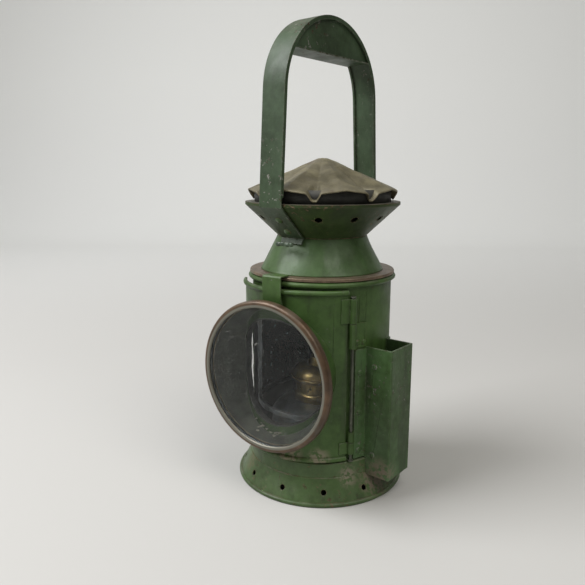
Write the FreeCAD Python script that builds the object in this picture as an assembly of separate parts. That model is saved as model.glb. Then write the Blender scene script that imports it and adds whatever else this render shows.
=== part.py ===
import FreeCAD
import Part
import math
import os

# Railway oil hand lamp: a sheet-metal lantern whose top turns to change the light's colour.
#
# Millimetres, +Z up.  The origin is the centre of the foot, on the surface the lamp stands on.
# The lens faces -Y (through a door hinged on the right), the lamp-iron socket is on +X, and the
# handle stands in the YZ plane.  An angle round the lamp is counted from -Y towards +X.
#
# Five bodies move: the standing body, the turning top with its glass cage, the lens door, the
# wick winder and the wick.

V = FreeCAD.Vector

# ---------------------------------------------------------------- driving dimensions
SHEET = 0.8                 # thickness of the tinplate
SLIP = 0.4                  # gap between sheets that move past each other
FIT = 0.08                  # radial clearance of a running fit
EPS = 0.02                  # pieces that only touch are kept this far apart

# standing body
BODY_R = 48.2               # outside of the cylindrical wall
BODY_TOP = 148.0            # top of the wall
FOOT_REACH = 11.3           # how far the foot spreads beyond the wall
FOOT_WIRE = 1.5             # radius of its wired edge
FLARE_TOP = 16.6            # where the flare meets the collar
COLLAR_H = 10.4
COLLAR_WALL = 2.2
FLOOR_T = 1.0
BEAD_H = 3.8                # rolled bead round the top of the wall
BEAD_OUT = 2.8
VENT_COUNT = 12
VENT_R = 1.8
VENT_TURN = 10.0            # angle of the first vent
FLOOR_HOLE_R = 2.5

# door, modelled shut, then set ajar
DOOR_REST = 4.4             # how far the door stands ajar at rest, degrees
DOOR_HALF = 57.0            # the panel runs this far each side of the lens axis
DOOR_BEAD_H = 3.4
DOOR_BEAD_OUT = 1.6
DOORWAY_LEFT = 51.5         # opening in the wall behind the door, degrees on the free side
DOORWAY_RIGHT = 54.5        # and on the hinge side, where the collar swings out
PIN_R = 1.1
KNUCKLE_R = 2.2
KNUCKLE_GAP = 0.3
LEAF_T = 0.8
LEAF_REACH = 13.5           # width of the riveted leaf, degrees

# lens
LENS_RAISE = 1.4            # lens centre above the middle of the door
TUBE_LENGTH = 8.4           # from the door's front to the back of the bezel
BEZEL_OUT = 13.6            # bezel's radius beyond the tube's mouth
BEZEL_BAND = 4.6            # radial width of the bezel's rolled band
BEZEL_DEPTH = 6.0
GLASS_T = 2.5
GLASS_BITE = 2.2            # how far the glass stops short of the bezel's outside
RETAINER_R = 1.0
CATCH_W = 14.5
CATCH_T = 1.0
CATCH_CLEAR = 0.6           # between the catch's foot and the lens tube

# lamp-iron socket on the side
SOCKET_DEPTH = 18.3         # its outer wall beyond the lamp's wall
SOCKET_W = 26.8
SOCKET_T = 1.4
FLANGE_T = 1.0

# turning top
RIM_OUT = 1.8               # rim beyond the wall
RIM_LIFT = 0.4              # gap between the rim's lip and the bead below it
RIM_LIP = 1.9
HOOD_SET = 5.9              # hood's foot inside the wall
HOOD_H = 23.3
HOOD_TAPER = 11.5
NECK_LAP = 0.4              # gallery's base below the neck
GALLERY_H = 22.6
GALLERY_SPREAD = 22.0
GALLERY_LIP = 1.8
GALLERY_PLATE_W = 12.0
GALLERY_HOLE_R = 2.4
GALLERY_HOLES = 12
GALLERY_TURN = 4.0          # angle of the first hole
SLEEVE_H = 11.0             # sleeve below the top of the wall
CHIMNEY_SET = 8.8           # chimney inside the neck

# pleated hat
HAT_FEET = 8
HAT_TURN = 31.0             # angle of the first foot
HAT_H = 28.8
HAT_RISE = 8.2              # height of an arch over the feet
HAT_APEX_R = 3.0
HAT_FLUTE_R = 9.0           # where the fold down to each foot starts
HAT_FOOT_HALF = 1.9         # half angle of a foot
HAT_ARCH_HALF = 17.5        # half angle of an arch
HAT_EDGE_DROP = 0.8         # ends of an arch below its middle

# handle
STRAP_W = 18.0
STRAP_T = 1.2
STRAP_EDGE_W = 1.6          # folded edge, on the inside of the strap
STRAP_EDGE_T = 1.4
ARCH_SET = 2.8              # arch inside the gallery
ARCH_UP = 67.2              # arch's centre above the gallery
GRIP_SHARE = 0.512          # grip's underside above the arch's centre, as a share of its radius
STRAP_TAIL = 4.2            # strap's end below the neck
RIVET_R = 2.7
RIVET_H = 1.3
SHANK_R = 1.2
HANDLE_RIVET_UP = (5.0, 13.0)
SMALL_RIVET_R = 1.9
SMALL_RIVET_H = 1.0
SMALL_SHANK_R = 0.9
RIVET_TAIL = 0.6            # thickness of a rivet's hidden head

# glass cage inside
CAGE_SET = 3.8              # cage inside the wall's outside
CAGE_CLEAR = 0.6            # between the cage and the door's collar
CAGE_WALL = 2.6
CAGE_RING_H = 3.2
RAIL_HALF = 3.3             # half angle of a rail
PANE_T = 1.6
PANE_GRIP = 1.4             # how deep a pane sits in its rail, degrees
PANE_PLAY = 0.1

# oil lamp
FONT_SET = 13.4             # font inside the wall's outside
FONT_WALL_H = 23.0
FONT_DOME_H = 14.0
FONT_NECK_R = 16.0
SEAT_H = 6.0
BURNER_R = 17.8
BURNER_LIFT = 4.6
BURNER_H = 11.4
BURNER_WALL = 0.9
BURNER_FLARE = 3.1
DOME_H = 7.6
DOME_TOP_R = 9.0
CONE_H = 5.9
CONE_TOP_R = 7.2
WICK_W = 10.6
WICK_T = 1.4
WICK_SINK = 7.5             # wick's end below the top of the flame cone
WINDER_R = 1.1
WINDER_WHEEL_R = 2.5
WINDER_WHEEL_X = 2.6
WINDER_REACH = 12.2         # spindle beyond the burner
KNOB_R = 7.0
KNOB_T = 3.2
KNOB_GROOVES = 30

# ---------------------------------------------------------------- sizes that follow
BODY_IN = BODY_R - SHEET
FOOT_R = BODY_R + FOOT_REACH
COLLAR_R = BODY_R + COLLAR_WALL
COLLAR_TOP = FLARE_TOP + COLLAR_H
FLOOR_Z = FLARE_TOP + 2.4
FLOOR_TOP = FLOOR_Z + FLOOR_T
VENT_Z = FLARE_TOP * 0.518

DOOR_Z0 = COLLAR_TOP + 1.0
DOOR_Z1 = BODY_TOP - BEAD_H - 1.0
DOORWAY_Z0 = DOOR_Z0 + 8.0
DOORWAY_Z1 = DOOR_Z1 - 6.2
DOOR_R_IN = BODY_R + SLIP
DOOR_R = DOOR_R_IN + SHEET
HINGE_ANGLE = DOOR_HALF + 3.5
HINGE_R = DOOR_R_IN + KNUCKLE_R + 0.05
UPPER_KNUCKLES = (DOOR_Z1 - 38.4, DOOR_Z1 - 21.6, DOOR_Z1 - 5.6)     # wall knuckle below, door knuckle above
LOWER_KNUCKLES = (DOOR_Z0 + 1.6, DOOR_Z0 + 13.0, DOOR_Z0 + 20.4)     # door knuckle below, wall knuckle above
LEAF_RIVETS = [(HINGE_ANGLE + turn, UPPER_KNUCKLES[0] + 3.2) for turn in (5.0, 11.0)]

LENS_Z = (DOOR_Z0 + DOOR_Z1) / 2 + LENS_RAISE
TUBE_MOUTH_R = min(BODY_R * 0.7552, (DOOR_Z1 - DOOR_Z0) * 0.316)
BEZEL_R = TUBE_MOUTH_R + BEZEL_OUT
BEZEL_BACK = DOOR_R + TUBE_LENGTH - SHEET
BEZEL_FRONT = BEZEL_BACK + BEZEL_DEPTH
GLASS_R = BEZEL_R - GLASS_BITE
TUBE_END_R = BEZEL_R - BEZEL_BAND
TUBE_SIDE = math.sqrt(DOOR_R ** 2 - TUBE_MOUTH_R ** 2)              # depth where the tube leaves the curved door
TUBE_SPREAD = (TUBE_END_R - TUBE_MOUTH_R) / (BEZEL_BACK - TUBE_SIDE)
TUBE_WALL = SHEET * math.hypot(1, TUBE_SPREAD)

SOCKET_OUT = BODY_R + SOCKET_DEPTH
SOCKET_Z0 = FLARE_TOP - 1.1
SOCKET_Z1 = UPPER_KNUCKLES[0] - 0.4
SOCKET_HALF = SOCKET_W / 2
SOCKET_IN = math.sqrt(BODY_R ** 2 - SOCKET_HALF ** 2)
SOCKET_EDGE = math.degrees(math.asin(SOCKET_HALF / BODY_R))
FLANGE_START = HINGE_ANGLE + 3.4
SOCKET_RIVET_Z = (SOCKET_Z0 + 18.0, (SOCKET_Z0 + SOCKET_Z1) / 2, SOCKET_Z1 - 17.0)
SOCKET_RIVET_TURN = (90 - SOCKET_EDGE - FLANGE_START) * 0.55
SOCKET_RIVETS = [(90 + side * (SOCKET_EDGE + SOCKET_RIVET_TURN), z)
                 for side in (-1, 1) for z in SOCKET_RIVET_Z]
WALL_RIVET_X = SOCKET_IN + 7.4
WALL_RIVET_Z = (SOCKET_Z0 + 15.0, SOCKET_Z1 - 12.5)

RIM_R = BODY_R + RIM_OUT
RIM_Z0 = BODY_TOP + RIM_LIFT
RIM_Z1 = RIM_Z0 + RIM_LIP
RIM_UNDER = RIM_Z1 - SHEET
HOOD_R = BODY_R - HOOD_SET
HOOD_Z0 = RIM_Z1
HOOD_WALL = SHEET * 1.1                                             # sheet measured across the hood's slope
NECK_R = HOOD_R - HOOD_TAPER
NECK_Z = HOOD_Z0 + HOOD_H
GALLERY_R = NECK_R + GALLERY_SPREAD
GALLERY_Z = NECK_Z + GALLERY_H
GALLERY_HOLE_Z = NECK_Z + GALLERY_H * 0.5664
GALLERY_SLOPE = math.atan2(GALLERY_H - GALLERY_LIP, GALLERY_SPREAD)
GALLERY_PLATE_R_IN = GALLERY_R - SHEET - GALLERY_PLATE_W
SLEEVE_R = BODY_IN - SLIP
SLEEVE_Z0 = BODY_TOP - SLEEVE_H
CATCH_Y = max(DOOR_R + DOOR_BEAD_OUT, RIM_R, BODY_R + BEAD_OUT) + 2 * EPS + 0.4
CATCH_Z0 = LENS_Z + TUBE_MOUTH_R + TUBE_SPREAD * (CATCH_Y + CATCH_T - TUBE_SIDE) + TUBE_WALL + CATCH_CLEAR
CHIMNEY_R = NECK_R - CHIMNEY_SET
CHIMNEY_Z0 = NECK_Z - 14.6
CHIMNEY_Z1 = GALLERY_Z - 5.2

HAT_FOOT_R = GALLERY_R - 4.2
HAT_EDGE_R = GALLERY_R - 1.4
HAT_Z0 = GALLERY_Z
HAT_APEX = GALLERY_Z + HAT_H

ARCH_R = GALLERY_R - ARCH_SET
ARCH_Z = GALLERY_Z + ARCH_UP
GRIP_Z = ARCH_Z + GRIP_SHARE * ARCH_R
STRAP_END_Z = NECK_Z - STRAP_TAIL
HANDLE_GRIP = STRAP_T + SHEET + 2 * EPS + 0.06
HANDLE_RIVET_Z = tuple(NECK_Z + up for up in HANDLE_RIVET_UP)

CAGE_R_OUT = BODY_R - CAGE_SET
CAGE_R_IN = CAGE_R_OUT - CAGE_WALL
FONT_R = BODY_R - FONT_SET
FONT_WALL_Z = FLOOR_TOP + FONT_WALL_H
FONT_TOP = FONT_WALL_Z + FONT_DOME_H
CAGE_Z0 = FONT_WALL_Z + 11.0
PANE_R_IN = (CAGE_R_IN + CAGE_R_OUT - PANE_T) / 2
PANE_R_OUT = PANE_R_IN + PANE_T
PANE_Z0 = CAGE_Z0 + CAGE_RING_H + EPS
PANE_Z1 = SLEEVE_Z0 - EPS

BURNER_Z0 = FONT_TOP + BURNER_LIFT
BURNER_LIP_R = BURNER_R + BURNER_FLARE
BURNER_LIP_Z = BURNER_Z0 + BURNER_H
DOME_TOP = BURNER_LIP_Z + DOME_H
CONE_TOP = DOME_TOP + CONE_H
WICK_Z0 = FLOOR_TOP + 10.0
WICK_TOP = CONE_TOP - WICK_SINK
WICK_TUBE_Z0 = WICK_Z0 + 10.0
WICK_TUBE_TOP = WICK_TOP - 1.6
WICK_TUBE_X = WICK_W / 2 + 1.2
WICK_TUBE_Y = WICK_T / 2 + 1.3
WINDER_Y = WICK_T / 2 + 0.3 + WINDER_WHEEL_R
WINDER_Z = BURNER_Z0 + 4.4
WINDER_OUT = BURNER_R + WINDER_REACH


# ---------------------------------------------------------------- helpers
def polar(radius, degrees, z=0.0):
    """A point at an angle counted from -Y towards +X."""
    a = math.radians(degrees)
    return V(radius * math.sin(a), -radius * math.cos(a), z)


def revolve(points, centre=(0.0, 0.0)):
    """Turn a closed outline of (radius, z) points round a vertical axis."""
    wire = Part.makePolygon([V(r, 0, z) for r, z in points] + [V(points[0][0], 0, points[0][1])])
    solid = Part.Face(wire).revolve(V(0, 0, 0), V(0, 0, 1), 360)
    solid.translate(V(centre[0], centre[1], 0))
    return solid


def tube(r_in, r_out, z0, z1):
    """A plain ring or tube round the lamp's axis."""
    return revolve([(r_in, z0), (r_out, z0), (r_out, z1), (r_in, z1)])


def wedge(a0, a1, reach, z0, z1):
    """A sector between two angles, used to cut rings into parts of a ring."""
    steps = max(2, int(math.ceil((a1 - a0) / 20.0)))
    rim = [polar(reach, a0 + (a1 - a0) * i / steps, z0) for i in range(steps + 1)]
    wire = Part.makePolygon([V(0, 0, z0)] + rim + [V(0, 0, z0)])
    return Part.Face(wire).extrude(V(0, 0, z1 - z0))


def ring_part(r_in, r_out, z0, z1, a0, a1):
    """The part of a ring that lies between two angles."""
    return tube(r_in, r_out, z0, z1).common(wedge(a0, a1, 2 * r_out, z0 - 1, z1 + 1))


def rod(start, end, radius):
    """A round bar between two points."""
    run = end - start
    return Part.makeCylinder(radius, run.Length, start, run)


def box(x0, x1, y0, y1, z0, z1):
    return Part.makeBox(x1 - x0, y1 - y0, z1 - z0, V(x0, y0, z0))


def arc_points(centre, radius, a0, a1, count):
    """Points of an arc in an outline of (radius, z), both ends included."""
    turn = [math.radians(a0 + (a1 - a0) * i / (count - 1)) for i in range(count)]
    return [(centre[0] + radius * math.cos(t), centre[1] + radius * math.sin(t)) for t in turn]


def dome_rivet(seat, outwards, grip, radius=RIVET_R, height=RIVET_H, shank=SHANK_R):
    """A rivet with a domed head on the seat and a thin head behind the sheets it grips."""
    outwards = V(outwards).normalize()
    ball_r = (radius ** 2 + height ** 2) / (2 * height)
    ball = Part.makeSphere(ball_r, seat + outwards * (height - ball_r))
    head = ball.common(Part.makeCylinder(radius + 1, height + 1, seat, outwards))
    stem = rod(seat, seat - outwards * grip, shank)
    tail = rod(seat - outwards * grip, seat - outwards * (grip + RIVET_TAIL), radius * 0.8)
    return head.fuse([stem, tail]).removeSplitter()


def rivet_hole(seat, outwards, grip, shank=SHANK_R):
    outwards = V(outwards).normalize()
    return rod(seat + outwards * 3, seat - outwards * (grip + 3), shank + EPS)


# ---------------------------------------------------------------- standing body
def foot_ring():
    """Flared foot with a wired edge and a collar that hugs the wall."""
    wire_c = (FOOT_R - FOOT_WIRE, FOOT_WIRE * 0.86)
    flare = revolve([
        (FOOT_R - 1.3, FOOT_WIRE * 1.2), (COLLAR_R + 0.6, FLARE_TOP - 0.6), (COLLAR_R + 0.6, FLARE_TOP),
        (COLLAR_R, FLARE_TOP + 0.4), (COLLAR_R, COLLAR_TOP - 0.5), (COLLAR_R - 0.5, COLLAR_TOP),
        (BODY_R + EPS, COLLAR_TOP), (BODY_R + EPS, FLOOR_Z), (COLLAR_R - SHEET, FLARE_TOP - 1.2),
        (FOOT_R - 1.3 - 1.3 * SHEET, FOOT_WIRE * 1.2),
    ])
    edge = revolve(arc_points(wire_c, FOOT_WIRE, 0, 345, 24))
    foot = flare.fuse(edge).cut(box(-80, 80, -80, 80, -5, 0))
    for i in range(VENT_COUNT):
        a = VENT_TURN + 360.0 * i / VENT_COUNT
        foot = foot.cut(rod(polar(BODY_IN - 4, a, VENT_Z - 3), polar(FOOT_R + 4, a, VENT_Z + 2.4), VENT_R))
    return foot


def body_floor():
    """Floor plate that the oil lamp stands on, with air holes round it."""
    plate = Part.makeCylinder(BODY_R - EPS, FLOOR_T, V(0, 0, FLOOR_Z))
    ring_r = (FONT_R + SLIP + SHEET + BODY_IN) / 2
    for i in range(8):
        plate = plate.cut(Part.makeCylinder(FLOOR_HOLE_R, 4, polar(ring_r, 45 * i, FLOOR_Z - 1)))
    return plate


def body_shell():
    """Cylindrical wall with the doorway cut in its front."""
    wall = tube(BODY_IN, BODY_R, FLOOR_TOP + EPS, BODY_TOP)
    wall = wall.cut(wedge(-DOORWAY_LEFT, DOORWAY_RIGHT, 2 * BODY_R, DOORWAY_Z0, DOORWAY_Z1))
    for a, z in SOCKET_RIVETS:
        wall = wall.cut(wall_rivet_hole(a, z, FLANGE_T))
    for a, z in LEAF_RIVETS:
        wall = wall.cut(wall_rivet_hole(a, z, LEAF_T))
    return wall


def body_top_bead():
    """Half-round bead rolled round the top of the wall."""
    z0 = BODY_TOP - BEAD_H
    half = BEAD_H / 2
    bulge = [(BODY_R + EPS + BEAD_OUT * math.cos(t), z0 + half + half * math.sin(t))
             for t in [math.radians(-90 + 15 * i) for i in range(13)]]
    return revolve(bulge)


def lamp_seat():
    """Low ring that centres the oil lamp on the floor."""
    return tube(FONT_R + SLIP, FONT_R + SLIP + SHEET, FLOOR_TOP + EPS, FLOOR_TOP + SEAT_H)


# ---------------------------------------------------------------- hinge
def hinge_axis(z):
    return polar(HINGE_R, HINGE_ANGLE, z)


def knuckle(z0, z1):
    run = V(0, 0, z1 - z0)
    return rod(hinge_axis(z0), hinge_axis(z0) + run, KNUCKLE_R)


def pin_bore():
    return rod(hinge_axis(0), hinge_axis(200), PIN_R + FIT)


def body_leaf(z0, z1, reach, rivets):
    """Leaf on the wall with its knuckle."""
    leaf = ring_part(BODY_R + EPS, BODY_R + LEAF_T, z0, z1, HINGE_ANGLE, HINGE_ANGLE + reach)
    leaf = leaf.fuse(knuckle(z0, z1)).cut(pin_bore()).removeSplitter()
    for a, z in rivets:
        leaf = leaf.cut(wall_rivet_hole(a, z, LEAF_T))
    return leaf


def door_leaf(z0, z1, reach):
    """Leaf on the door panel with its knuckle."""
    leaf = ring_part(DOOR_R + EPS, DOOR_R + LEAF_T, z0, z1, HINGE_ANGLE - reach, HINGE_ANGLE)
    return leaf.fuse(knuckle(z0, z1)).cut(pin_bore()).removeSplitter()


def hinge_pin():
    """One long pin, with a small head at each end."""
    z0 = LOWER_KNUCKLES[0] - 0.8
    z1 = UPPER_KNUCKLES[2] + 0.8
    heads = [rod(hinge_axis(z0 - 0.8), hinge_axis(z0), KNUCKLE_R - 0.4),
             rod(hinge_axis(z1), hinge_axis(z1 + 0.8), KNUCKLE_R - 0.4)]
    return rod(hinge_axis(z0), hinge_axis(z1), PIN_R).fuse(heads).removeSplitter()


def wall_rivet(angle, z, stack):
    """A rivet through the wall and what lies on it."""
    seat = polar(BODY_R + stack, angle, z)
    grip = stack + SHEET + 0.05
    return dome_rivet(seat, polar(1, angle), grip, SMALL_RIVET_R, SMALL_RIVET_H, SMALL_SHANK_R)


def wall_rivet_hole(angle, z, stack):
    return rivet_hole(polar(BODY_R + stack, angle, z), polar(1, angle), stack + SHEET, SMALL_SHANK_R)


def hinge_rivets():
    return Part.makeCompound([wall_rivet(a, z, LEAF_T) for a, z in LEAF_RIVETS])


# ---------------------------------------------------------------- lamp-iron socket
def lamp_iron_socket():
    """Channel that slides over an upright bracket, with a flange each side riveted to the wall."""
    channel = box(SOCKET_IN - 1.0, SOCKET_OUT, -SOCKET_HALF, SOCKET_HALF, SOCKET_Z0, SOCKET_Z1)
    hollow = box(0, SOCKET_OUT - SOCKET_T, SOCKET_T - SOCKET_HALF, SOCKET_HALF - SOCKET_T, 0, 200)
    corners = [e for e in channel.Edges if e.BoundBox.XMin > SOCKET_OUT - 0.01 and e.BoundBox.ZLength > 1]
    channel = channel.makeFillet(1.2, corners).cut(hollow)
    channel = channel.cut(Part.makeCylinder(BODY_R + EPS, 200))
    flange_z0, flange_z1 = COLLAR_TOP + 1.0, SOCKET_Z1 - 1.0
    join = 90 - SOCKET_EDGE + 1.0
    for a0, a1 in ((FLANGE_START, join), (180 - join, 180 - FLANGE_START)):
        channel = channel.fuse(ring_part(BODY_R + EPS, BODY_R + FLANGE_T, flange_z0, flange_z1, a0, a1))
    channel = channel.cut(Part.makeCylinder(COLLAR_R + 0.1, COLLAR_TOP + 0.5))
    channel = channel.cut(Part.makeCylinder(COLLAR_R + 0.7, FLARE_TOP + 0.5))
    channel = channel.cut(Part.makeCone(FOOT_R + 0.4, COLLAR_R + 0.4, FLARE_TOP))
    for a, z in SOCKET_RIVETS:
        channel = channel.cut(wall_rivet_hole(a, z, FLANGE_T))
    for z in WALL_RIVET_Z:
        reach = SOCKET_HALF + 2
        channel = channel.cut(rod(V(WALL_RIVET_X, -reach, z), V(WALL_RIVET_X, reach, z), SMALL_SHANK_R + EPS))
    return channel


def socket_rivets():
    return Part.makeCompound([wall_rivet(a, z, FLANGE_T) for a, z in SOCKET_RIVETS])


def socket_side_rivets():
    """Rivets through the channel's two side walls."""
    out = []
    for z in WALL_RIVET_Z:
        for side in (-1, 1):
            seat = V(WALL_RIVET_X, side * SOCKET_HALF, z)
            out.append(dome_rivet(seat, V(0, side, 0), SOCKET_T, SMALL_RIVET_R, 0.7, SMALL_SHANK_R))
    return Part.makeCompound(out)


# ---------------------------------------------------------------- oil lamp
def oil_font():
    """Tin reservoir with a domed shoulder and a short neck."""
    shoulder = [(FONT_NECK_R + (FONT_R - FONT_NECK_R) * math.cos(t),
                 FONT_WALL_Z + (FONT_TOP - 1.5 - FONT_WALL_Z) * math.sin(t))
                for t in [math.radians(90.0 * i / 8) for i in range(9)]]
    inner = [(max(r - SHEET, FONT_NECK_R - SHEET), z - SHEET) for r, z in shoulder]
    base = FLOOR_TOP + EPS
    outline = [(0, base), (FONT_R, base)] + shoulder
    outline += [(FONT_NECK_R, FONT_TOP), (FONT_NECK_R - SHEET, FONT_TOP)]
    outline += inner[::-1] + [(FONT_R - SHEET, base + SHEET), (0, base + SHEET)]
    return revolve(outline)


def burner_collar():
    """Brass ring that screws the burner to the font."""
    return revolve([(FONT_NECK_R + EPS, FONT_TOP - 1.4), (BURNER_R + 0.6, FONT_TOP - 1.4),
                    (BURNER_R + 0.9, FONT_TOP), (BURNER_R + 0.9, BURNER_Z0 - 1.2), (BURNER_R, BURNER_Z0 - EPS),
                    (WICK_TUBE_X + 1.8, BURNER_Z0 - EPS), (WICK_TUBE_X + 1.8, FONT_TOP + EPS),
                    (FONT_NECK_R + EPS, FONT_TOP + EPS)])


def burner_body():
    """Drum of the burner, flared into a lip; its floor holds the wick tube."""
    z0, z1, wall = BURNER_Z0, BURNER_LIP_Z, BURNER_WALL
    drum = revolve([(0, z0), (BURNER_R, z0), (BURNER_R, z1 - 4.2), (BURNER_R + 0.5, z1 - 3.4),
                    (BURNER_LIP_R, z1 - 0.8), (BURNER_LIP_R, z1), (BURNER_R + 0.4, z1),
                    (BURNER_R - wall, z1 - 3.6), (BURNER_R - wall, z0 + 1.0), (0, z0 + 1.0)])
    slot = box(-WICK_TUBE_X, WICK_TUBE_X, -WICK_TUBE_Y, WICK_TUBE_Y, 0, 2 * z1)
    bore = rod(V(0, WINDER_Y, WINDER_Z), V(2 * BURNER_R, WINDER_Y, WINDER_Z), WINDER_R + FIT)
    drum = drum.cut(slot).cut(bore)
    for i in range(10):
        a = 135 + 30 * i
        drum = drum.cut(rod(polar(BURNER_R - 3, a, WINDER_Z), polar(BURNER_R + 3, a, WINDER_Z), 0.8))
    return drum


def burner_dome():
    """Domed cap over the drum, rising into the flame cone."""
    z0 = BURNER_LIP_Z + EPS
    reach, rise = BURNER_R + 1.2 - DOME_TOP_R, DOME_TOP - z0
    outer = [(DOME_TOP_R + reach * r, z0 + rise * z) for r, z in arc_points((0, 0), 1.0, 0, 90, 9)]
    inner = [(max(r, DOME_TOP_R) - SHEET, max(z - SHEET, z0)) for r, z in outer]
    outline = outer + [(CONE_TOP_R, CONE_TOP), (CONE_TOP_R - 0.7, CONE_TOP)] + inner[::-1]
    clean = [p for i, p in enumerate(outline) if i == 0 or math.dist(p, outline[i - 1]) > 0.01]
    return revolve(clean)


def wick_tube():
    """Flat tube that guides the wick, with windows for the winder's wheels."""
    x, y = WICK_TUBE_X - EPS, WICK_TUBE_Y - EPS
    body = box(-x, x, -y, y, WICK_TUBE_Z0, WICK_TUBE_TOP)
    way_x, way_y = WICK_W / 2 + 0.4, WICK_T / 2 + 0.5
    body = body.cut(box(-way_x, way_x, -way_y, way_y, 0, 2 * WICK_TOP))
    for x in (-WINDER_WHEEL_X, WINDER_WHEEL_X):
        body = body.cut(winder_disc(x - 1.2, x + 1.2, WINDER_WHEEL_R + 0.3))
    return body


def wick():
    return box(-WICK_W / 2, WICK_W / 2, -WICK_T / 2, WICK_T / 2, WICK_Z0, WICK_TOP)


def winder_disc(x0, x1, radius):
    """A round piece on the winder's axis."""
    return rod(V(x0, WINDER_Y, WINDER_Z), V(x1, WINDER_Y, WINDER_Z), radius)


def wick_winder():
    """Spindle with two wheels that lift the wick."""
    wheels = [winder_disc(x - 0.8, x + 0.8, WINDER_WHEEL_R) for x in (-WINDER_WHEEL_X, WINDER_WHEEL_X)]
    return winder_disc(-WINDER_WHEEL_X - 2.0, WINDER_OUT, WINDER_R).fuse(wheels).removeSplitter()


def winder_knob():
    """Milled knob on the end of the spindle."""
    x0 = WINDER_OUT - KNOB_T
    knob = winder_disc(x0, WINDER_OUT + 0.6, KNOB_R).cut(winder_disc(0, WINDER_OUT + EPS, WINDER_R + EPS))
    groove_r = KNOB_R + 0.25
    for i in range(KNOB_GROOVES):
        a = math.radians(360.0 * i / KNOB_GROOVES)
        at = V(x0 - 1, WINDER_Y + groove_r * math.cos(a), WINDER_Z + groove_r * math.sin(a))
        knob = knob.cut(rod(at, at + V(KNOB_T + 3, 0, 0), 0.55))
    return knob


# ---------------------------------------------------------------- turning top
def rim_flange():
    """Plate that closes the wall's top, with its edge turned down."""
    return revolve([(HOOD_R - 3.5, RIM_UNDER), (RIM_R - SHEET, RIM_UNDER), (RIM_R - SHEET, RIM_Z0),
                    (RIM_R, RIM_Z0), (RIM_R, RIM_Z1 - 0.4), (RIM_R - 0.4, RIM_Z1), (HOOD_R - 3.5, RIM_Z1)])


def cage_sleeve():
    """Short sleeve under the rim that turns inside the wall and carries the cage."""
    return tube(CAGE_R_OUT, SLEEVE_R, SLEEVE_Z0, RIM_UNDER - EPS)


def hood_radius(z):
    """Outside radius of the hood at a height."""
    return HOOD_R + (NECK_R - HOOD_R) * (z - HOOD_Z0) / (NECK_Z - HOOD_Z0)


def hood_cone():
    """Truncated cone from the rim up to the neck."""
    z0, z1 = HOOD_Z0 + EPS, NECK_Z - NECK_LAP - EPS
    r0, r1 = hood_radius(z0), hood_radius(z1)
    return revolve([(r0, z0), (r1, z1), (r1 - HOOD_WALL, z1), (r0 - HOOD_WALL, z0)])


def gallery_radius(z):
    """Outside radius of the gallery's cone at a height."""
    return NECK_R + (z - NECK_Z) / math.tan(GALLERY_SLOPE)


def gallery():
    """Cone that widens upwards, pierced all round, ending in an upright lip."""
    t = SHEET / math.sin(GALLERY_SLOPE)
    z_lip = GALLERY_Z - GALLERY_LIP
    cone = revolve([(NECK_R - t, NECK_Z - NECK_LAP), (NECK_R, NECK_Z - NECK_LAP), (NECK_R, NECK_Z),
                    (GALLERY_R, z_lip), (GALLERY_R, GALLERY_Z), (GALLERY_R - SHEET, GALLERY_Z),
                    (GALLERY_R - SHEET, z_lip + (t - SHEET) * math.tan(GALLERY_SLOPE)), (NECK_R - t, NECK_Z)])
    r = gallery_radius(GALLERY_HOLE_Z)
    for i in range(GALLERY_HOLES):
        a = GALLERY_TURN + 360.0 * i / GALLERY_HOLES
        out = cone_normal(a)
        at = polar(r, a, GALLERY_HOLE_Z)
        cone = cone.cut(rod(at - out * 4, at + out * 4, GALLERY_HOLE_R))
    for side in (0, 180):
        for z in HANDLE_RIVET_Z:
            cone = cone.cut(rivet_hole(handle_seat(z, side), cone_normal(side), HANDLE_GRIP))
    return cone


def cone_normal(angle):
    """Direction square to the gallery's cone at an angle."""
    return polar(math.sin(GALLERY_SLOPE), angle, -math.cos(GALLERY_SLOPE))


def handle_seat(z, side):
    """Where a handle rivet's head sits on the strap."""
    return polar(gallery_radius(z), side, z) + cone_normal(side) * (STRAP_T + 2 * EPS)


def gallery_plate():
    """Flat ring inside the lip, on which the hat's feet stand."""
    z1 = GALLERY_Z
    return tube(GALLERY_PLATE_R_IN, GALLERY_R - SHEET - EPS, z1 - SHEET, z1)


def chimney():
    """Inner flue that leads the heat up through the neck, on a flange inside the hood."""
    t = SHEET
    z0 = CHIMNEY_Z0
    shelf = z0 + 7.0
    rim_low = hood_radius(z0) - HOOD_WALL - EPS
    rim_top = hood_radius(z0 + t) - HOOD_WALL - EPS
    return revolve([(rim_low, z0), (rim_top, z0 + t), (CHIMNEY_R, shelf + t), (CHIMNEY_R, CHIMNEY_Z1),
                    (CHIMNEY_R - t, CHIMNEY_Z1), (CHIMNEY_R - t, shelf)])


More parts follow.
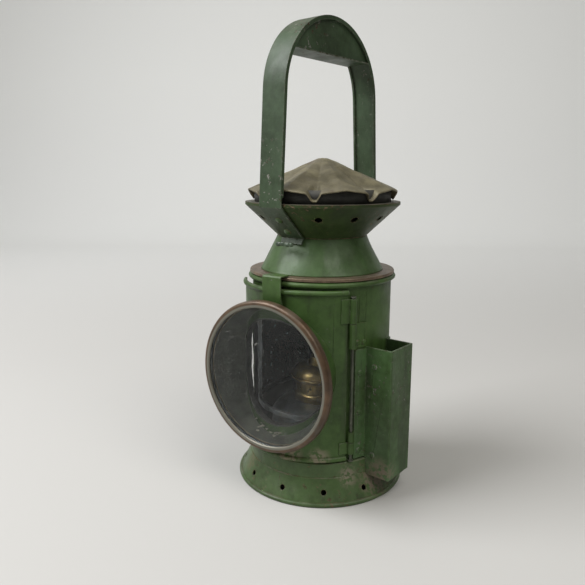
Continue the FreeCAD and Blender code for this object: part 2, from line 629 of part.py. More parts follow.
def hat():
    """Pleated cap: flat arches between feet, with a fold running down to each foot."""
    top = HAT_Z0 + EPS + SHEET
    edge_z = top + HAT_RISE
    slope = (HAT_APEX - edge_z) / (HAT_EDGE_R - HAT_APEX_R)

    def sheet_faces(drop):
        out = []
        for i in range(HAT_FEET):
            foot = HAT_TURN + 360.0 * i / HAT_FEET
            mid = foot + 180.0 / HAT_FEET
            nxt = foot + 360.0 / HAT_FEET

            def p(r, a, z):
                return polar(r, a, z - drop)
            a0 = p(HAT_APEX_R, foot, HAT_APEX)
            a1 = p(HAT_APEX_R, mid, HAT_APEX)
            a2 = p(HAT_APEX_R, nxt, HAT_APEX)
            v0 = p(HAT_FLUTE_R, foot, HAT_APEX - slope * (HAT_FLUTE_R - HAT_APEX_R))
            v2 = p(HAT_FLUTE_R, nxt, HAT_APEX - slope * (HAT_FLUTE_R - HAT_APEX_R))
            e0 = p(HAT_EDGE_R, mid - HAT_ARCH_HALF, edge_z - HAT_EDGE_DROP)
            e1 = p(HAT_EDGE_R, mid, edge_z)
            e2 = p(HAT_EDGE_R, mid + HAT_ARCH_HALF, edge_z - HAT_EDGE_DROP)
            f0 = p(HAT_FOOT_R, foot + HAT_FOOT_HALF, top)
            f2 = p(HAT_FOOT_R, nxt - HAT_FOOT_HALF, top)
            f3 = p(HAT_FOOT_R, nxt + HAT_FOOT_HALF, top)
            out += [(a0, v0, e0), (a0, e0, a1), (a1, e0, e1), (a1, e1, e2), (a1, e2, a2), (a2, e2, v2),
                    (v0, f0, e0), (v2, e2, f2), (v2, f2, f3)]
        return out
    faces = sheet_faces(0.0) + [tri[::-1] for tri in sheet_faces(SHEET)]
    drop = V(0, 0, -SHEET)
    for i in range(HAT_FEET):
        foot = HAT_TURN + 360.0 * i / HAT_FEET
        mid = foot + 180.0 / HAT_FEET
        nxt = foot + 360.0 / HAT_FEET
        ring = [polar(HAT_FOOT_R, foot - HAT_FOOT_HALF, top), polar(HAT_FOOT_R, foot + HAT_FOOT_HALF, top),
                polar(HAT_EDGE_R, mid - HAT_ARCH_HALF, edge_z - HAT_EDGE_DROP), polar(HAT_EDGE_R, mid, edge_z),
                polar(HAT_EDGE_R, mid + HAT_ARCH_HALF, edge_z - HAT_EDGE_DROP),
                polar(HAT_FOOT_R, nxt - HAT_FOOT_HALF, top)]
        for a, b in zip(ring, ring[1:]):
            faces += [(a, a + drop, b), (b, a + drop, b + drop)]
    caps = [polar(HAT_APEX_R, HAT_TURN + 180.0 * i / HAT_FEET, HAT_APEX) for i in range(2 * HAT_FEET)]
    shapes = [Part.Face(Part.makePolygon([a, b, c, a])) for a, b, c in faces]
    shapes.append(Part.Face(Part.makePolygon(caps + caps[:1])))
    low = [c + drop for c in caps]
    shapes.append(Part.Face(Part.makePolygon(low + low[:1])))
    shell = Part.makeShell(shapes)
    shell.sewShape()
    solid = Part.makeSolid(Part.Shell(shell.Faces))
    if solid.Volume < 0:
        solid.reverse()
    return solid


# ---------------------------------------------------------------- handle
def strap_side():
    """Inner line of the strap on one side, as (distance, z): hood, neck, gallery, rim, leg, arch."""
    r_in = ARCH_R - STRAP_T
    rim = (GALLERY_R + 2 * EPS, GALLERY_Z + 1.6)
    lean = math.atan2(rim[0] - r_in, ARCH_Z - rim[1])
    start = (hood_radius(STRAP_END_Z) + 2 * EPS, STRAP_END_Z)
    neck = (NECK_R + 2 * EPS, NECK_Z)
    shoulder_z = NECK_Z + GALLERY_SPREAD * math.tan(GALLERY_SLOPE)
    shoulder = (GALLERY_R + 2 * EPS, shoulder_z)
    tangent = (r_in * math.cos(lean), ARCH_Z + r_in * math.sin(lean))
    foot = (tangent[0] + (tangent[1] - rim[1]) * math.tan(lean), rim[1])
    return [start, neck, shoulder, foot, tangent], lean


def offset_line(points, distance):
    """The line moved sideways, away from the lamp's axis, with mitred corners."""
    out = []
    normals = []
    for (x0, z0), (x1, z1) in zip(points, points[1:]):
        length = math.hypot(x1 - x0, z1 - z0)
        normals.append(((z1 - z0) / length, -(x1 - x0) / length))
    for i, (x, z) in enumerate(points):
        before = normals[max(i - 1, 0)]
        after = normals[min(i, len(normals) - 1)]
        sx, sz = before[0] + after[0], before[1] + after[1]
        k = distance / (1 + before[0] * after[0] + before[1] * after[1])
        out.append((x + sx * k, z + sz * k))
    return out


def strap_band(inner, outer, x0, x1):
    """The strap's material between two offsets from its inner line, over part of its width."""
    side, lean = strap_side()
    near, far = offset_line(side, inner), offset_line(side, outer)

    def at(point, sign):
        return V(x0, sign * point[0], point[1])

    def arch(offset):
        r = ARCH_R - STRAP_T + offset
        ends = [V(x0, sign * r * math.cos(lean), ARCH_Z + r * math.sin(lean)) for sign in (-1, 1)]
        return Part.Arc(ends[0], V(x0, 0, ARCH_Z + r), ends[1]).toShape(), ends
    top_far, far_ends = arch(outer)
    top_near, near_ends = arch(inner)
    edges = [top_far, top_near]
    for sign, fe, ne in ((-1, far_ends[0], near_ends[0]), (1, far_ends[1], near_ends[1])):
        chain = [fe] + [at(p, sign) for p in far[-2::-1]] + [at(p, sign) for p in near[:-1]] + [ne]
        edges += [Part.makeLine(a, b) for a, b in zip(chain, chain[1:])]
    wire = Part.Wire(Part.__sortEdges__(edges))
    return Part.Face(wire).extrude(V(x1 - x0, 0, 0))


def handle_strap():
    """Flat strap bent over the lamp, its two long edges folded in."""
    half = STRAP_W / 2
    strap = strap_band(0.0, STRAP_T, -half, half)
    lip = -STRAP_EDGE_T
    keep = box(-half - 1, half + 1, -2 * ARCH_R, 2 * ARCH_R, GALLERY_Z + 4.0, ARCH_Z + 2 * ARCH_R)
    for x0 in (-half, half - STRAP_EDGE_W):
        strap = strap.fuse(strap_band(lip, EPS, x0, x0 + STRAP_EDGE_W).common(keep))
    strap = strap.removeSplitter()
    for side in (0, 180):
        for z in HANDLE_RIVET_Z:
            strap = strap.cut(rivet_hole(handle_seat(z, side), cone_normal(side), HANDLE_GRIP))
    return strap


def arch_disc(radius, x0, x1):
    return rod(V(x0, 0, ARCH_Z), V(x1, 0, ARCH_Z), radius)


def grip_plate(side):
    """Half-moon cheek of the hand grip."""
    x_out = STRAP_W / 2 - STRAP_EDGE_W - EPS
    x0, x1 = sorted((side * (x_out - SHEET), side * x_out))
    disc = arch_disc(ARCH_R - STRAP_T - EPS, x0, x1)
    return disc.common(box(-STRAP_W, STRAP_W, -ARCH_R, ARCH_R, GRIP_Z + SHEET + EPS, ARCH_Z + ARCH_R))


def grip_base():
    """Flat underside of the hand grip."""
    half = STRAP_W / 2 - EPS
    slab = box(-half, half, -ARCH_R, ARCH_R, GRIP_Z, GRIP_Z + SHEET)
    return slab.common(arch_disc(ARCH_R - STRAP_T - STRAP_EDGE_T - EPS, -half, half))


def handle_rivets():
    return Part.makeCompound([dome_rivet(handle_seat(z, side), cone_normal(side), HANDLE_GRIP)
                              for side in (0, 180) for z in HANDLE_RIVET_Z])


# ---------------------------------------------------------------- glass cage
def cage_ring(z0):
    return tube(CAGE_R_IN, CAGE_R_OUT - EPS, z0, z0 + CAGE_RING_H)


def cage_rail(angle):
    """Upright rail with a groove each side for the glass."""
    rail = ring_part(CAGE_R_IN, CAGE_R_OUT - EPS, PANE_Z0, PANE_Z1, angle - RAIL_HALF, angle + RAIL_HALF)
    web = RAIL_HALF - PANE_GRIP - 0.15
    for a0, a1 in ((angle - 10, angle - web), (angle + web, angle + 10)):
        groove = ring_part(PANE_R_IN - PANE_PLAY, PANE_R_OUT + PANE_PLAY, PANE_Z0 - 1, PANE_Z1 + 1, a0, a1)
        rail = rail.cut(groove)
    return rail


def pane(angle):
    """Curved pane between two rails."""
    half = 45.0 - RAIL_HALF + PANE_GRIP
    return ring_part(PANE_R_IN, PANE_R_OUT, PANE_Z0, PANE_Z1, angle - half, angle + half)


# ---------------------------------------------------------------- door
def door_panel():
    """Curved sheet with the round hole for the lens tube."""
    sheet = ring_part(DOOR_R_IN, DOOR_R, DOOR_Z0, DOOR_Z1, -DOOR_HALF, DOOR_HALF)
    return sheet.cut(rod(V(0, 0, LENS_Z), V(0, -2 * BODY_R, LENS_Z), TUBE_MOUTH_R))


def door_bead(z0):
    """Half-round bead along the top or bottom of the door."""
    half = DOOR_BEAD_H / 2
    bulge = [(DOOR_R + EPS + DOOR_BEAD_OUT * math.cos(t), z0 + half + half * math.sin(t))
             for t in [math.radians(-90 + 15 * i) for i in range(13)]]
    return revolve(bulge).common(wedge(-DOOR_HALF, DOOR_HALF, 2 * BODY_R, z0 - 1, z0 + DOOR_BEAD_H + 1))


def along_lens(points):
    """Turn an outline of (radius, distance from the lamp's axis) round the lens axis."""
    wire = Part.makePolygon([V(r, -d, LENS_Z) for r, d in points] + [V(points[0][0], -points[0][1], LENS_Z)])
    return Part.Face(wire).revolve(V(0, 0, LENS_Z), V(0, 1, 0), 360)


def lens_tube():
    """Conical tube from the door to the bezel, ending on the curved panel."""
    back = TUBE_SIDE * 0.6
    end = BEZEL_BACK - EPS

    def r(d):
        return TUBE_MOUTH_R + TUBE_SPREAD * (d - TUBE_SIDE)

    cone = along_lens([(r(back), back), (r(back) + TUBE_WALL, back), (r(end) + TUBE_WALL, end), (r(end), end)])
    return cone.cut(Part.makeCylinder(DOOR_R + EPS, 200))


def lens_collar():
    """Ring in the door's round hole that reaches in towards the cage and keeps stray light off the lens."""
    out = TUBE_MOUTH_R - EPS
    ring = along_lens([(out - SHEET, 0), (out, 0), (out, DOOR_R + 1), (out - SHEET, DOOR_R + 1)])
    return ring.common(tube(CAGE_R_OUT + CAGE_CLEAR, DOOR_R, DOOR_Z0, DOOR_Z1))


def lens_bezel():
    """Rolled ring round the glass, its front lip turned in."""
    f, b = BEZEL_FRONT, BEZEL_BACK
    lip_in = BEZEL_R - BEZEL_BAND
    outline = [(TUBE_END_R, b), (BEZEL_R - 1.0, b)]
    outline += [(BEZEL_R - 1.4 + 1.4 * math.cos(math.radians(a)), b + 1.4 + 1.4 * math.sin(math.radians(a)))
                for a in (-60, -30, 0)]
    outline += [(BEZEL_R - 2.2 + 2.2 * math.cos(math.radians(a)), f - 2.2 + 2.2 * math.sin(math.radians(a)))
                for a in (0, 22.5, 45, 67.5, 90)]
    outline += [(lip_in + 0.6, f), (lip_in, f - 0.6), (lip_in, f - 1.2), (GLASS_R + 0.1, f - 1.2),
                (GLASS_R + 0.1, f - 1.2 - GLASS_T - 2 * EPS - 2 * RETAINER_R), (TUBE_END_R, b + 0.2)]
    return along_lens(outline)


def lens_glass():
    """Flat round glass."""
    f = BEZEL_FRONT - 1.2 - EPS
    return along_lens([(0, f - GLASS_T), (GLASS_R, f - GLASS_T), (GLASS_R, f), (0, f)])


def lens_retainer():
    """Spring wire ring behind the glass."""
    d = BEZEL_FRONT - 1.2 - 2 * EPS - GLASS_T - RETAINER_R
    return along_lens(arc_points((GLASS_R - RETAINER_R, d), RETAINER_R, 0, 345, 24))


def catch_strap():
    """Sprung strap on the door that hooks over the rim."""
    half = CATCH_W / 2
    z_over = RIM_Z1 + SLIP
    tip = HOOD_R + SLIP + 0.3
    outline = [(DOOR_R + 0.1, CATCH_Z0), (DOOR_R + 0.1 + CATCH_T, CATCH_Z0), (CATCH_Y + CATCH_T, CATCH_Z0 + 6),
               (CATCH_Y + CATCH_T, z_over), (CATCH_Y + CATCH_T - 0.8, z_over + CATCH_T),
               (tip, z_over + CATCH_T), (tip, z_over), (CATCH_Y, z_over), (CATCH_Y, CATCH_Z0 + 6.4)]
    wire = Part.makePolygon([V(-half, -y, z) for y, z in outline + outline[:1]])
    return Part.Face(wire).extrude(V(CATCH_W, 0, 0))


def ajar(shape):
    """Swing a piece of the door from shut to where it rests."""
    turned = shape.copy()
    turned.rotate(hinge_axis(0), V(0, 0, 1), DOOR_REST)
    return turned


# ---------------------------------------------------------------- the assembly
def build():
    upper_leaf = (UPPER_KNUCKLES[0], UPPER_KNUCKLES[1] - KNUCKLE_GAP)
    lower_leaf = (LOWER_KNUCKLES[1] + KNUCKLE_GAP, LOWER_KNUCKLES[2])
    parts = {
        "foot_ring": foot_ring(),
        "body_floor": body_floor(),
        "body_shell": body_shell(),
        "body_top_bead": body_top_bead(),
        "hinge_leaf_upper": body_leaf(*upper_leaf, LEAF_REACH, LEAF_RIVETS),
        "hinge_leaf_lower": body_leaf(*lower_leaf, 3.0, []),
        "hinge_pin": hinge_pin(),
        "hinge_rivets": hinge_rivets(),
        "lamp_iron_socket": lamp_iron_socket(),
        "socket_rivets": socket_rivets(),
        "socket_side_rivets": socket_side_rivets(),
        "lamp_seat": lamp_seat(),
        "oil_font": oil_font(),
        "burner_collar": burner_collar(),
        "burner_body": burner_body(),
        "burner_dome": burner_dome(),
        "wick_tube": wick_tube(),
        "wick": wick(),
        "wick_winder": wick_winder(),
        "winder_knob": winder_knob(),
        "rim_flange": rim_flange(),
        "cage_sleeve": cage_sleeve(),
        "hood_cone": hood_cone(),
        "gallery": gallery(),
        "gallery_plate": gallery_plate(),
        "chimney": chimney(),
        "hat": hat(),
        "handle_strap": handle_strap(),
        "grip_plate_right": grip_plate(1),
        "grip_plate_left": grip_plate(-1),
        "grip_base": grip_base(),
        "handle_rivets": handle_rivets(),
        "cage_upper_ring": cage_ring(SLEEVE_Z0),
        "cage_lower_ring": cage_ring(CAGE_Z0),
        "green_glass": pane(-90),
        "red_glass": pane(90),
        "blank_panel": pane(180),
    }
    for i, a in enumerate((-45, 45, 135, -135)):
        parts["cage_rail_%d" % (i + 1)] = cage_rail(a)
    door = {
        "door_panel": door_panel(),
        "door_top_bead": door_bead(DOOR_Z1 - DOOR_BEAD_H),
        "door_bottom_bead": door_bead(DOOR_Z0),
        "door_leaf_upper": door_leaf(UPPER_KNUCKLES[1], UPPER_KNUCKLES[2], 9.0),
        "door_leaf_lower": door_leaf(LOWER_KNUCKLES[0] + DOOR_BEAD_H, LOWER_KNUCKLES[1], 9.0),
        "lens_tube": lens_tube(),
        "lens_collar": lens_collar(),
        "lens_bezel": lens_bezel(),
        "lens_glass": lens_glass(),
        "lens_retainer": lens_retainer(),
        "catch_strap": catch_strap(),
    }
    parts.update({name: ajar(shape) for name, shape in door.items()})
    return parts


os.makedirs("parts", exist_ok=True)
for old in os.listdir("parts"):
    if old.endswith(".step"):
        os.remove(os.path.join("parts", old))
for node, shape in build().items():
    good = shape.isValid() and all(s.Volume > 0 for s in shape.Solids)
    print("%-20s solids %d volume %10.1f %s" % (node, len(shape.Solids), shape.Volume, "" if good else "INVALID"))
    shape.exportStep("parts/%s.step" % node)
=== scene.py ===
# %% [markdown]
# # An old railway hand lamp
# The lamp is sheet steel: rolled, riveted, soldered and brushed with green enamel, then knocked about
# for decades.  Its exact shape comes ready made as a frame of named pieces.  This lesson gives each
# piece a worn finish, and rebuilds in numpy the few sheets whose dents and folds matter to the eye.

# %% Load the frame
import math
import bpy
import numpy as np
from mathutils import Matrix, Vector


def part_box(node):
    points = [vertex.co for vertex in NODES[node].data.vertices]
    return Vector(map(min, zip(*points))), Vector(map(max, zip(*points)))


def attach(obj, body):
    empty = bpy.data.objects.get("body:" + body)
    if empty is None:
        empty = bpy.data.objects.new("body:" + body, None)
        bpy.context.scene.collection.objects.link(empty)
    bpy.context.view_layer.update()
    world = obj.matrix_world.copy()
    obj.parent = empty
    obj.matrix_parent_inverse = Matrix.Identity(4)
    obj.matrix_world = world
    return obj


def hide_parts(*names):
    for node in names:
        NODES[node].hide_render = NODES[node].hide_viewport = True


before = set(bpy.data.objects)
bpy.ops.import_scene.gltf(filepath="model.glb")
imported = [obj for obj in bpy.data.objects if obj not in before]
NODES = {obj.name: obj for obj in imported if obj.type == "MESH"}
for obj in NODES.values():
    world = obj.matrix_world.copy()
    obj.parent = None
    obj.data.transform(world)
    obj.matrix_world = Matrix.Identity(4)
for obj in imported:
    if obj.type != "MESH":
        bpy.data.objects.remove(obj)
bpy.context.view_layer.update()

MM = 0.001
AJAR = math.radians(4.4)                    # how far the lens door stands open
LENS_AXIS = (math.sin(AJAR), -math.cos(AJAR), 0.0)
print("pieces in the frame:", len(NODES))

# %% [markdown]
# ## Helpers for shader nodes
# Every finish below is a small graph of noise, ramps and masks.  A few helpers keep those graphs as
# short as the sentence that describes them: one adds a node and wires its inputs, one does sums, one
# blends two colours.  An input is either a plain value or the output of another node.


# %% Node helpers
def add(tree, kind, inputs=None, **settings):
    """Add a node, set its properties, and fill its inputs with values or links."""
    node = tree.nodes.new("ShaderNode" + kind)
    for key, value in settings.items():
        setattr(node, key, value)
    for key, value in (inputs or {}).items():
        if isinstance(value, bpy.types.NodeSocket):
            tree.links.new(value, node.inputs[key])
        else:
            node.inputs[key].default_value = value
    return node


def calc(tree, operation, first, second=0.0, clamp=False):
    """One sum on two numbers."""
    return add(tree, "Math", {0: first, 1: second}, operation=operation, use_clamp=clamp).outputs[0]


def blend(tree, amount, first, second, kind="MIX"):
    """Blend two colours by an amount from 0 to 1."""
    node = add(tree, "Mix", {0: amount, 6: first, 7: second}, data_type="RGBA", blend_type=kind)
    return node.outputs[2]


def between(tree, value, low, high, out_low=0.0, out_high=1.0):
    """Stretch the range low..high to out_low..out_high with soft ends."""
    node = add(tree, "MapRange", {"Value": value, "From Min": low, "From Max": high,
                                  "To Min": out_low, "To Max": out_high}, interpolation_type="SMOOTHSTEP")
    return node.outputs[0]


def colour(red, green, blue):
    return (red, green, blue, 1.0)


print("node helpers ready")

# %% [markdown]
# ## Shared effects
# Four effects return in most finishes, so each is a node group with named sockets.  *Blotches* is a
# noise cut at a chosen level: patches of tone, rust or dust.  *Edge wear* compares the true surface
# direction with a rounded one, which differ only near an edge, and breaks the result up with noise.
# *Brushed coat* is the relief of hand-brushed enamel over knocked sheet.  *Settled dust* gathers on
# what faces up.


# %% Group builder
def new_group(name, sockets_in, sockets_out, fill):
    """Make a shader node group; fill(tree, inputs, outputs) wires it."""
    tree = bpy.data.node_groups.new(name, "ShaderNodeTree")
    for label, kind, value in sockets_in:
        socket = tree.interface.new_socket(label, in_out="INPUT", socket_type="NodeSocket" + kind)
        if value is not None:
            socket.default_value = value
    for label, kind in sockets_out:
        tree.interface.new_socket(label, in_out="OUTPUT", socket_type="NodeSocket" + kind)
    start = tree.nodes.new("NodeGroupInput")
    end = tree.nodes.new("NodeGroupOutput")
    for label, socket in fill(tree, start.outputs).items():
        tree.links.new(socket, end.inputs[label])
    return tree


def use(tree, group, **inputs):
    """Place a group in a material and return its outputs."""
    node = add(tree, "Group", node_tree=group)
    for label, value in inputs.items():
        socket = node.inputs[label.replace("_", " ")]
        if isinstance(value, bpy.types.NodeSocket):
            tree.links.new(value, socket)
        else:
            socket.default_value = value
    return node.outputs


# %% Blotches
def fill_blotches(tree, given):
    place = add(tree, "TexCoord").outputs["Object"]
    moved = add(tree, "VectorMath", {0: place, 1: given["Shift"]}, operation="ADD").outputs[0]
    shaped = add(tree, "VectorMath", {0: moved, 1: given["Stretch"]}, operation="MULTIPLY").outputs[0]
    noise = add(tree, "TexNoise", {"Vector": shaped, "Scale": given["Scale"], "Detail": given["Detail"],
                                   "Roughness": 0.6})
    edge = calc(tree, "ADD", given["Level"], given["Softness"])
    mask = between(tree, noise.outputs["Fac"], given["Level"], edge)
    return {"Mask": mask, "Noise": noise.outputs["Fac"]}


blotches = new_group("blotches",
                     [("Scale", "Float", 30.0), ("Detail", "Float", 5.0), ("Level", "Float", 0.5),
                      ("Softness", "Float", 0.1), ("Stretch", "Vector", (1.0, 1.0, 1.0)),
                      ("Shift", "Vector", (0.0, 0.0, 0.0))],
                     [("Mask", "Float"), ("Noise", "Float")], fill_blotches)
print("group:", blotches.name)


# %% Edge wear
def fill_edge_wear(tree, given):
    rounded = add(tree, "Bevel", {"Radius": given["Reach"]}, samples=6).outputs[0]
    true = add(tree, "NewGeometry").outputs["Normal"]
    same = add(tree, "VectorMath", {0: rounded, 1: true}, operation="DOT_PRODUCT").outputs["Value"]
    near = calc(tree, "SUBTRACT", 1.0, same)
    ragged = use(tree, blotches, Scale=given["Grain"], Detail=6.0, Level=0.35, Softness=0.4)["Mask"]
    biased = calc(tree, "MULTIPLY", near, calc(tree, "ADD", ragged, 0.15))
    return {"Mask": between(tree, biased, 0.01, given["Softness"])}


edge_wear = new_group("edge wear",
                      [("Reach", "Float", 0.0009), ("Grain", "Float", 160.0), ("Softness", "Float", 0.12)],
                      [("Mask", "Float")], fill_edge_wear)
print("group:", edge_wear.name)


# %% Brushed coat
def fill_brushed_coat(tree, given):
    knocks = use(tree, blotches, Scale=26.0, Detail=1.5)["Noise"]
    brush = use(tree, blotches, Scale=420.0, Detail=3.0, Stretch=(1.0, 1.0, 0.25))["Noise"]
    grit = use(tree, blotches, Scale=900.0, Detail=2.0)["Noise"]
    height = calc(tree, "MULTIPLY", knocks, given["Dents"])
    height = calc(tree, "ADD", height, calc(tree, "MULTIPLY", brush, given["Brushing"]))
    height = calc(tree, "ADD", height, calc(tree, "MULTIPLY", grit, given["Grit"]))
    return {"Height": height}


brushed_coat = new_group("brushed coat",
                         [("Dents", "Float", 1.0), ("Brushing", "Float", 0.06), ("Grit", "Float", 0.03)],
                         [("Height", "Float")], fill_brushed_coat)
print("group:", brushed_coat.name)


# %% Settled dust
def fill_settled_dust(tree, given):
    normal = add(tree, "NewGeometry").outputs["Normal"]
    up = add(tree, "SeparateXYZ", {0: normal}).outputs["Z"]
    facing = between(tree, up, 0.25, 0.95)
    patchy = use(tree, blotches, Scale=70.0, Detail=6.0, Level=0.38, Softness=0.35)["Mask"]
    return {"Mask": calc(tree, "MULTIPLY", calc(tree, "MULTIPLY", facing, patchy), given["Amount"])}


settled_dust = new_group("settled dust", [("Amount", "Float", 0.5)], [("Mask", "Float")], fill_settled_dust)
print("group:", settled_dust.name)

# %% [markdown]
# ## Old green enamel
# The paint is a mid green that has darkened unevenly.  It is chipped down to dark primer in specks,
# rubbed to brownish metal along edges and rivet heads, streaked downwards with grime, and dusty on
# top.  One recipe makes every painted piece; its numbers say how hard a life that piece has had.


# %% Materials from layers
def new_material(name):
    material = bpy.data.materials.new(name)
    material.use_nodes = True
    tree = material.node_tree
    return material, tree, tree.nodes["Principled BSDF"]


def bump(tree, shader, height, distance, strength=1.0):
    node = add(tree, "Bump", {"Height": height, "Distance": distance, "Strength": strength})
    tree.links.new(node.outputs[0], shader.inputs["Normal"])


def stain_and_highlight(tree, surface, centre, radius, tint):
    """A patch on the colour, full at its centre, ragged and gone at its radius: dirt or rust on most pieces,
    painted highlight mixed with dirt on the door's bead.
    """
    place = add(tree, "TexCoord").outputs["Object"]
    away = add(tree, "VectorMath", {0: place, 1: centre}, operation="DISTANCE").outputs["Value"]
    near = between(tree, away, radius, radius * 0.2)
    ragged = use(tree, blotches, Scale=330.0, Detail=7.0, Level=0.40, Softness=0.16)["Mask"]
    return blend(tree, calc(tree, "MULTIPLY", near, ragged), surface, colour(*tint))


def enamel(name, light, dark, bare, wear=1.0, chips=0.66, grime=0.5, dust=0.25, dents=1.0, gloss=0.36,
           stains_and_highlights=()):
    """Brushed enamel over sheet steel, with chips, rubbed edges, grime and dust."""
    material, tree, shader = new_material(name)
    tone = use(tree, blotches, Scale=22.0, Detail=6.0, Level=0.3, Softness=0.42)["Mask"]
    mottle = use(tree, blotches, Scale=240.0, Detail=4.0, Level=0.3, Softness=0.4)["Mask"]
    paint = blend(tree, tone, colour(*dark), colour(*light))
    paint = blend(tree, calc(tree, "MULTIPLY", mottle, 0.25), paint, colour(*[c * 1.5 for c in light]))
    streak = use(tree, blotches, Scale=90.0, Detail=5.0, Level=0.5, Softness=0.22,
                 Stretch=(1.0, 1.0, 0.16), Shift=(0.3, 0.1, 0.7))["Mask"]
    paint = blend(tree, calc(tree, "MULTIPLY", streak, grime), paint, colour(0.022, 0.028, 0.014))
    edge = use(tree, edge_wear, Reach=0.0010, Grain=190.0, Softness=0.16 / wear)["Mask"]
    specks = use(tree, blotches, Scale=330.0, Detail=5.0, Level=chips, Softness=0.03)["Mask"]
    region = use(tree, blotches, Scale=18.0, Detail=3.0, Level=0.42, Softness=0.25,
                 Shift=(0.9, 0.4, 0.2))["Mask"]
    specks = calc(tree, "MULTIPLY", specks, region)
    lost = calc(tree, "MAXIMUM", edge, specks)
    rust = use(tree, blotches, Scale=300.0, Detail=5.0, Level=0.42, Softness=0.2,
               Shift=(0.2, 0.2, 0.2))["Mask"]
    under = blend(tree, rust, colour(*bare), colour(0.060, 0.034, 0.018))
    surface = blend(tree, lost, paint, under)
    film = use(tree, settled_dust, Amount=dust)["Mask"]
    surface = blend(tree, film, surface, colour(0.21, 0.20, 0.16))
    for centre, radius, tint in stains_and_highlights:
        surface = stain_and_highlight(tree, surface, centre, radius, tint)
    tree.links.new(surface, shader.inputs["Base Color"])
    shine = use(tree, blotches, Scale=60.0, Detail=6.0, Level=0.3, Softness=0.4,
                Shift=(0.5, 0.5, 0.1))["Mask"]
    shader.inputs["Specular IOR Level"].default_value = 0.30
    rough = calc(tree, "ADD", calc(tree, "MULTIPLY", shine, 0.18), gloss)
    dull = calc(tree, "MULTIPLY", calc(tree, "MAXIMUM", lost, film), 0.25)
    rough = calc(tree, "ADD", rough, dull, clamp=True)
    tree.links.new(rough, shader.inputs["Roughness"])
    tree.links.new(calc(tree, "MULTIPLY", lost, 0.45), shader.inputs["Metallic"])
    coat = use(tree, brushed_coat, Dents=dents, Brushing=0.05, Grit=0.02)["Height"]
    height = calc(tree, "SUBTRACT", coat, calc(tree, "MULTIPLY", lost, 0.07))
    bump(tree, shader, height, 0.0022)
    return material


GREEN_LIGHT = (0.054, 0.104, 0.026)
GREEN_DARK = (0.020, 0.040, 0.008)
BARE_BROWN = (0.17, 0.115, 0.070)
BARE_GREY = (0.22, 0.22, 0.19)
wall_paint = enamel("wall_enamel", GREEN_LIGHT, GREEN_DARK, BARE_BROWN, chips=0.64)
# The door's two pale patches lie on its bottom bead: dirt, with a painted highlight where the bead catches
# the light.
door_paint = enamel("door_enamel", GREEN_LIGHT, GREEN_DARK, BARE_GREY, chips=0.62, grime=0.6,
                    stains_and_highlights=[((0.012, -0.050, 0.032), 0.013, (0.20, 0.17, 0.11)),
                            ((0.030, -0.041, 0.031), 0.010, (0.20, 0.18, 0.12))])
hood_paint = enamel("hood_enamel", (0.062, 0.112, 0.040), (0.034, 0.064, 0.018), BARE_BROWN,
                    dents=1.6, grime=0.4, gloss=0.33)
foot_paint = enamel("foot_enamel", (0.066, 0.110, 0.040), (0.030, 0.050, 0.014), BARE_BROWN,
                    wear=1.5, chips=0.60, grime=0.7, dust=0.45, gloss=0.31,
                    stains_and_highlights=[((0.055, -0.010, 0.012), 0.017, (0.17, 0.14, 0.10)),
                            ((0.046, -0.028, 0.018), 0.010, (0.22, 0.19, 0.14)),
                            ((-0.030, -0.050, 0.016), 0.012, (0.13, 0.10, 0.05))])
socket_paint = enamel("socket_enamel", (0.062, 0.120, 0.044), (0.026, 0.046, 0.012), BARE_GREY,
                      wear=1.5, chips=0.60, grime=0.6,
                      stains_and_highlights=[((0.060, -0.014, 0.018), 0.016, (0.16, 0.13, 0.09))])
# The gallery's green is a darker copy of the same enamel: painted shade on its downward-facing flare, with
# real dust and wear.
gallery_shaded_paint = enamel("gallery_shaded_enamel", (0.034, 0.058, 0.014), (0.013, 0.024, 0.005), BARE_BROWN,
                       wear=1.7, chips=0.59, grime=0.6, dust=0.5, gloss=0.40)
handle_paint = enamel("handle_enamel", (0.044, 0.072, 0.036), (0.018, 0.030, 0.012), BARE_GREY,
                      wear=1.5, chips=0.60, grime=0.5, dents=0.7, gloss=0.38)
print("enamels made")

# %% [markdown]
# ## Bare and rusted metal
# The rim and the lens ring have lost almost all their paint to handling: a warm coppery brown with a
# bright rubbed crest and green left in the hollows.  The hat above the flame never kept its paint and
# is olive brown with rust.  Inside, the tinned sheet is dull grey and sooty, and the burner is brass.


